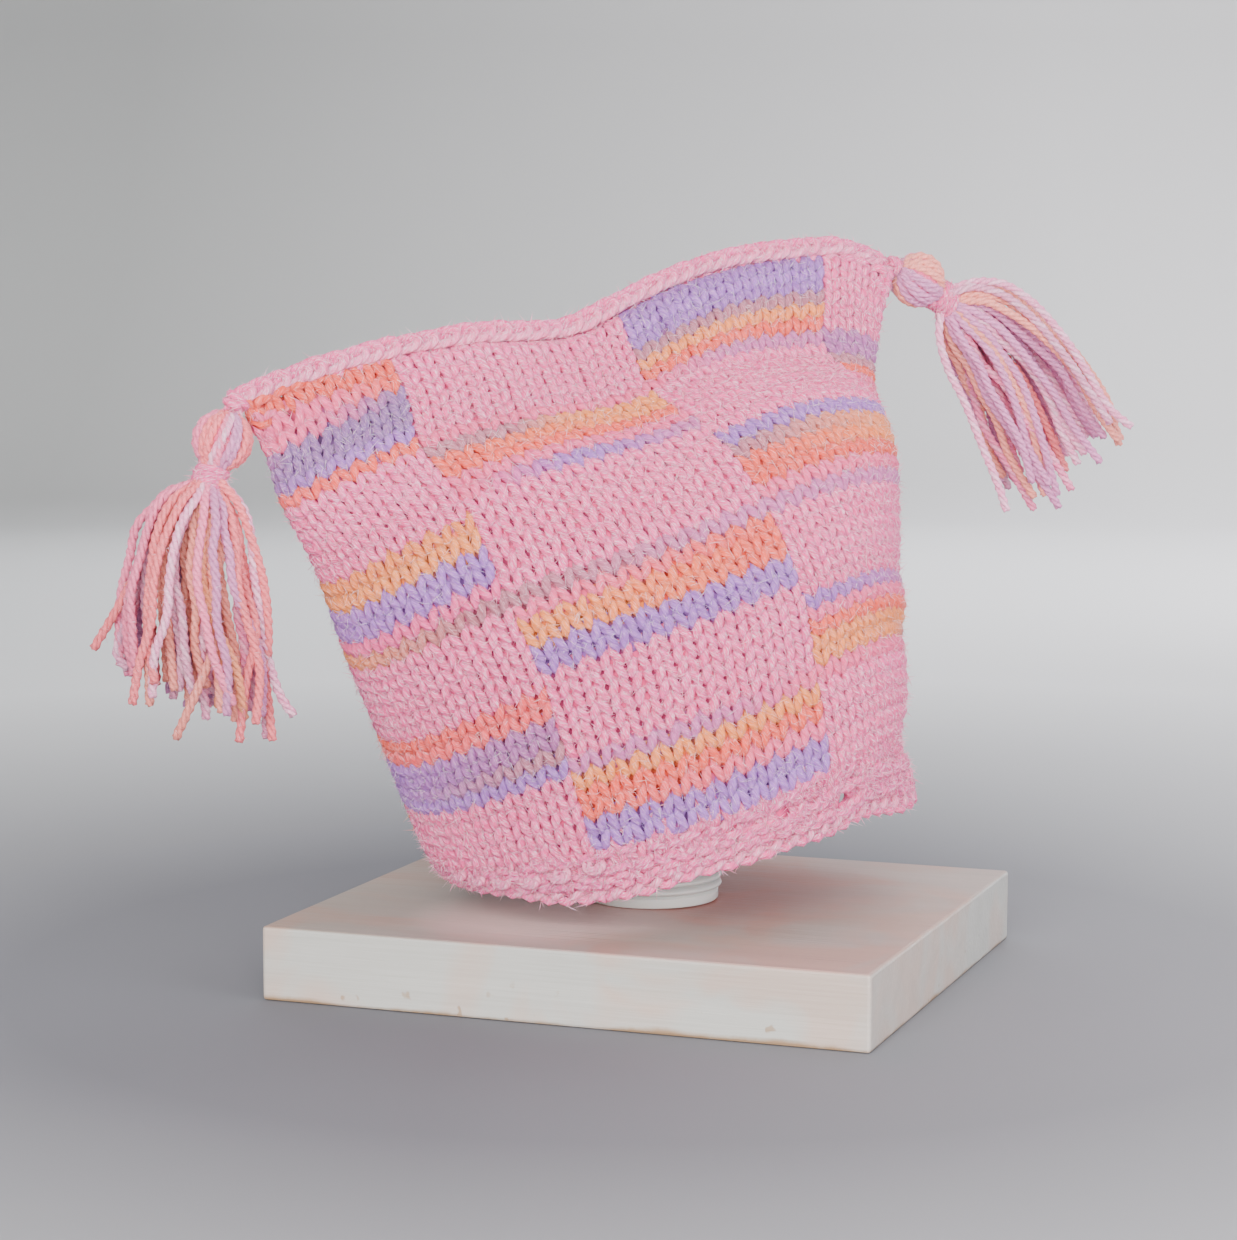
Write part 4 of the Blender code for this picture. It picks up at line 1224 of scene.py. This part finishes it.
def paintMaterial(top):
    # brush-painted softwood: half-gloss white over faint raised grain, worn at the lower edge
    material, tree, surface = newMaterial("white paint on planed softwood", paint["shader"])
    where = addNode(tree, "TexCoord").outputs["Object"]
    point = addNode(tree, "SeparateXYZ", {0: where})
    grainPlace = addNode(tree, "VectorMath", {0: where, 1: paint["grain"]}, operation="MULTIPLY")
    grain = addNode(tree, "TexNoise", {"Vector": grainPlace, "Scale": 1.0, "Detail": 4.0,
                                       "Roughness": 0.55, "Distortion": 0.4})
    brushPlace = addNode(tree, "VectorMath", {0: where, 1: paint["brush"]}, operation="MULTIPLY")
    brush = addNode(tree, "TexNoise", {"Vector": brushPlace, "Scale": 1.0, "Detail": 2.0,
                                       "Roughness": 0.5})
    blotch = addNode(tree, "TexNoise", {"Vector": where, "Scale": paint["blotch"], "Detail": 5.0,
                                        "Roughness": 0.6})
    # white, with creamy clouds and the grain showing through
    white = addNode(tree, "Mix", {0: blotch, 6: paint["white"][0], 7: paint["white"][1]},
                    data_type="RGBA")
    cream = addNode(tree, "TexNoise", {"Vector": where, "Scale": paint["cream"], "Detail": 2.0,
                                       "Distortion": 1.5})
    creamShare = addNode(tree, "MapRange", {0: cream, 1: 0.46, 2: 0.62, 3: 0.0, 4: paint["creamMost"]})
    clouded = addNode(tree, "Mix", {0: creamShare, 6: white, 7: paint["creamColour"]}, data_type="RGBA")
    tone = addNode(tree, "MapRange", {0: grain, 1: 0.3, 2: 0.7, 3: 0.91, 4: 1.02})
    toned = addNode(tree, "Mix", {0: 1.0, 6: clouded, 7: tone}, data_type="RGBA", blend_type="MULTIPLY")
    # painted shade and painted pink light on the top
    onTop = addNode(tree, "MapRange", {0: point.outputs["Z"], 1: top - 0.0006, 2: top - 0.0001})
    away = addNode(tree, "VectorMath", {0: where, 1: paint["paintedHatShadeAt"]}, operation="DISTANCE")
    outward = addNode(tree, "MapRange", {0: away, 1: paint["paintedHatShadeFrom"], 2: paint["paintedHatShadeTo"]},
                      interpolation_type="SMOOTHSTEP")
    along = addNode(tree, "MapRange", {0: point.outputs["X"], 1: paint["plainFrom"], 2: paint["plainTo"]})
    plain = addNode(tree, "Mix", {0: along, 6: paint["plain"][0], 7: paint["plain"][1]}, data_type="RGBA")
    paintedHatShade = addNode(tree, "Mix", {0: outward, 6: paint["paintedHatShade"], 7: plain}, data_type="RGBA")
    paintedTopShade = addNode(tree, "Mix", {0: onTop, 6: toned, 7: paintedHatShade}, data_type="RGBA", blend_type="MULTIPLY")
    # painted light: the hat's pink reflection in front of its lowest corner
    reach = addNode(tree, "VectorMath", {0: where, 1: paint["paintedReflectionAt"]}, operation="DISTANCE")
    near = addNode(tree, "MapRange", {0: reach, 1: paint["paintedReflectionTo"], 2: paint["paintedReflectionFrom"]},
                   interpolation_type="SMOOTHSTEP")
    paintedReflectionShare = addNode(tree, "Math", {0: near, 1: onTop}, operation="MULTIPLY")
    paintedReflection = addNode(tree, "Mix", {0: paintedReflectionShare, 6: paintedTopShade, 7: paint["paintedReflection"]}, data_type="RGBA")
    # bare wood along the lower edge, ragged with the blotches, and in a few small knocks above it
    low = addNode(tree, "Math", {0: blotch, 1: paint["ragged"], 2: point.outputs["Z"]},
                  operation="MULTIPLY_ADD")
    worn = addNode(tree, "MapRange", {0: low, 1: paint["wornFrom"], 2: paint["wornTo"], 3: 1.0, 4: 0.0})
    speck = addNode(tree, "TexNoise", {"Vector": where, "Scale": paint["speck"], "Detail": 2.0,
                                       "Roughness": 0.5})
    knock = addNode(tree, "MapRange", {0: speck, 1: 0.68, 2: 0.73, 3: 0.0, 4: paint["knock"]})
    under = addNode(tree, "MapRange", {0: point.outputs["Z"], 1: paint["knocksFrom"],
                                       2: paint["knocksTo"]})
    knocked = addNode(tree, "Math", {0: knock, 1: under}, operation="MULTIPLY")
    bare = addNode(tree, "Math", {0: worn, 1: knocked}, operation="MAXIMUM")
    wood = addNode(tree, "Mix", {0: bare, 6: paintedReflection, 7: paint["wood"]}, data_type="RGBA")
    tree.links.new(wood.outputs[2], surface.inputs["Base Color"])
    height = addNode(tree, "Math", {0: grain, 1: brush}, operation="ADD")
    bump = addNode(tree, "Bump", {"Height": height, "Distance": paint["relief"], "Strength": 0.8})
    tree.links.new(bump.outputs["Normal"], surface.inputs["Normal"])
    return material


def plasticMaterial(name, hexCode, roughness):
    # moulded polyethylene: satin, faintly uneven
    material, tree, surface = newMaterial(name, {"Roughness": roughness, "Specular IOR Level": 0.45,
                                                 "Subsurface Weight": 0.1, "Subsurface Scale": 0.003})
    where = addNode(tree, "TexCoord").outputs["Object"]
    grit = addNode(tree, "TexNoise", {"Vector": where, "Scale": 700.0, "Detail": 3.0})
    cloud = addNode(tree, "TexNoise", {"Vector": where, "Scale": 60.0, "Detail": 3.0})
    tone = addNode(tree, "MapRange", {0: cloud, 1: 0.3, 2: 0.7, 3: 0.95, 4: 1.0})
    colour = addNode(tree, "Mix", {0: 1.0, 6: hexCode, 7: tone}, data_type="RGBA", blend_type="MULTIPLY")
    tree.links.new(colour.outputs[2], surface.inputs["Base Color"])
    bump = addNode(tree, "Bump", {"Height": grit, "Distance": 0.00004, "Strength": 0.5})
    tree.links.new(bump.outputs["Normal"], surface.inputs["Normal"])
    return material


def setMaterial(obj, material):
    obj.data.materials.clear()
    obj.data.materials.append(material)


setMaterial(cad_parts["board"], paintMaterial(boardTop))
setMaterial(neck, plasticMaterial("white polyethylene, moulded", "#C3C1BD", 0.38))
setMaterial(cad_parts["post"], plasticMaterial("plain polyethylene, moulded", "#DEDCD8", 0.5))

# floor, lights and camera

studio = {
    "floorRadius": 2.4, "bend": 0.9, "bendSteps": 12, "wall": 2.2,
    "rings": (0.5, 1.0),      # on the flat part
    "steps": 128,
    "under": 0.0001,          # floor under the board
    # painted light and shade: floor and wall darker on the left and lighter on the right
    # tones of floor and wall on the photo's left and right, and the places between which they change
    "ground": ("#6F6F74", "#9C9CA0", -0.05, 0.30),
    "backdrop": ("#B8B9B8", "#F2F1F3", -0.45, 0.40),
    "wallFrom": 0.17, "wallTo": 0.6,      # distances between which floor passes into wall
    "dim": 0.68, "dimAt": 0.4,            # painted shade: the wall darkens to this share up to this height
    # name, degrees round from the camera to its right, degrees up, distance, width, watts, colour, and
    # whether it is mirrored: the one behind would shine in the board's paint
    "lights": [
        ("key", -7, 15, 1.4, 1.1, 48.5, "#FFFDFA", True),
        ("fill", 50, 15, 1.5, 1.0, 18.0, "#F4F6FF", True),
        ("top", 150, 62, 1.6, 1.0, 8.0, "#FFFFFF", True),
        ("back", 190, 28, 1.4, 1.2, 10.0, "#F6F8FF", False),
    ],
    "lightHeight": 0.7,       # share of its width, low enough to stay above the floor
    "aim": 0.09,              # height at which the lights look
    # a lamp beside the hat, outside the picture, which brightens one side of the wall
    "wallLamp": {"azimuth": 118, "distance": 1.15, "height": 0.12, "size": 0.6, "watts": 40.0,
                 "looks": (-0.25, 1.0, -0.12)},
    "air": "#F2F3F7", "airLight": 0.78,
}


def makeFloor():
    # a round pale sweep: a flat disc whose rim curves up into a wall
    flat = studio["floorRadius"] - studio["bend"]
    profile = [(0.0, 0.0)] + [(ring, 0.0) for ring in studio["rings"]] + [(flat, 0.0)]
    for k in range(1, studio["bendSteps"] + 1):
        angle = math.pi / 2 * k / studio["bendSteps"]
        profile.append((studio["floorRadius"] - studio["bend"] * (1 - math.sin(angle)),
                        studio["bend"] * (1 - math.cos(angle))))
    profile.append((studio["floorRadius"], studio["wall"]))
    floor = spinProfile("floor", [(r, z - studio["under"]) for r, z in profile], studio["steps"])
    floor.data.materials.append(floorMaterial())


def floorMaterial():
    # matt paper; darker under the board than on the wall, and painted light and shade: darker on the left
    # than on the right
    material, tree, surface = newMaterial("pale matt floor", {"Roughness": 0.85,
                                                              "Specular IOR Level": 0.2})
    where = addNode(tree, "TexCoord").outputs["Object"]
    away = addNode(tree, "VectorMath", {0: where}, operation="LENGTH")
    far = addNode(tree, "MapRange", {0: away, 1: studio["wallFrom"], 2: studio["wallTo"]})
    side = addNode(tree, "VectorMath", {0: where, 1: tuple(photoRight)}, operation="DOT_PRODUCT")
    tones = []
    for part in ("ground", "backdrop"):
        left, right, start, end = studio[part]
        across = addNode(tree, "MapRange", {0: side, 1: start, 2: end})
        tones.append(addNode(tree, "Mix", {0: across, 6: left, 7: right}, data_type="RGBA"))
    tone = addNode(tree, "Mix", {0: far, 6: tones[0], 7: tones[1]}, data_type="RGBA")
    # and painted shade: darker again further up the wall
    height = addNode(tree, "SeparateXYZ", {0: where}).outputs["Z"]
    dim = addNode(tree, "MapRange", {0: height, 1: 0.0, 2: studio["dimAt"], 3: 1.0, 4: studio["dim"]})
    dimmed = addNode(tree, "Mix", {0: 1.0, 6: tone, 7: dim}, data_type="RGBA", blend_type="MULTIPLY")
    tree.links.new(dimmed.outputs[2], surface.inputs["Base Color"])
    return material


def fromHat(azimuth, elevation):
    # a direction seen from the hat; azimuth 0 is the camera's side and grows to its right
    a, e = math.radians(azimuth + view["azimuth"]), math.radians(elevation)
    return Vector((math.sin(a) * math.cos(e), -math.cos(a) * math.cos(e), math.sin(e)))


def addLight(name, place, looks, size, power):
    # soft light that the camera doesn't see
    data = bpy.data.lights.new(name, "AREA")
    data.size = size
    data.energy = power
    light = bpy.data.objects.new(name, data)
    light.location = place
    light.rotation_euler = looks.to_track_quat("-Z", "Y").to_euler()
    light.visible_camera = False
    bpy.context.scene.collection.objects.link(light)
    return light


def lightStudio():
    for name, azimuth, elevation, distance, size, power, colour, mirrored in studio["lights"]:
        direction = fromHat(azimuth, elevation)
        place = Vector((0, 0, studio["aim"])) + direction * distance
        light = addLight(name, place, -direction, size, power)
        light.data.shape = "RECTANGLE"
        light.data.size_y = studio["lightHeight"] * size
        light.data.color = linearColour(colour)[:3]
        light.visible_glossy = mirrored
    lamp = studio["wallLamp"]
    place = fromHat(lamp["azimuth"], 0) * lamp["distance"] + Vector((0, 0, lamp["height"]))
    addLight("wall", place, Vector(lamp["looks"]), lamp["size"], lamp["watts"])
    world = bpy.data.worlds.new("studio air")
    world.use_nodes = True
    air = world.node_tree.nodes["Background"]
    air.inputs["Color"].default_value = linearColour(studio["air"])
    air.inputs["Strength"].default_value = studio["airLight"]
    bpy.context.scene.world = world


def makeCamera():
    data = bpy.data.cameras.new("camera")
    data.sensor_width = view["sensor"]
    data.lens = view["lens"]
    data.clip_start, data.clip_end = view["clip"]
    camera = bpy.data.objects.new("camera", data)
    axes = zip(view["right"], view["up"], -view["forward"], view["place"])
    camera.matrix_world = Matrix([list(row) for row in axes] + [[0, 0, 0, 1]])
    bpy.context.scene.collection.objects.link(camera)
    bpy.context.scene.camera = camera


makeFloor()
lightStudio()
makeCamera()
print("floor, lights and camera placed")
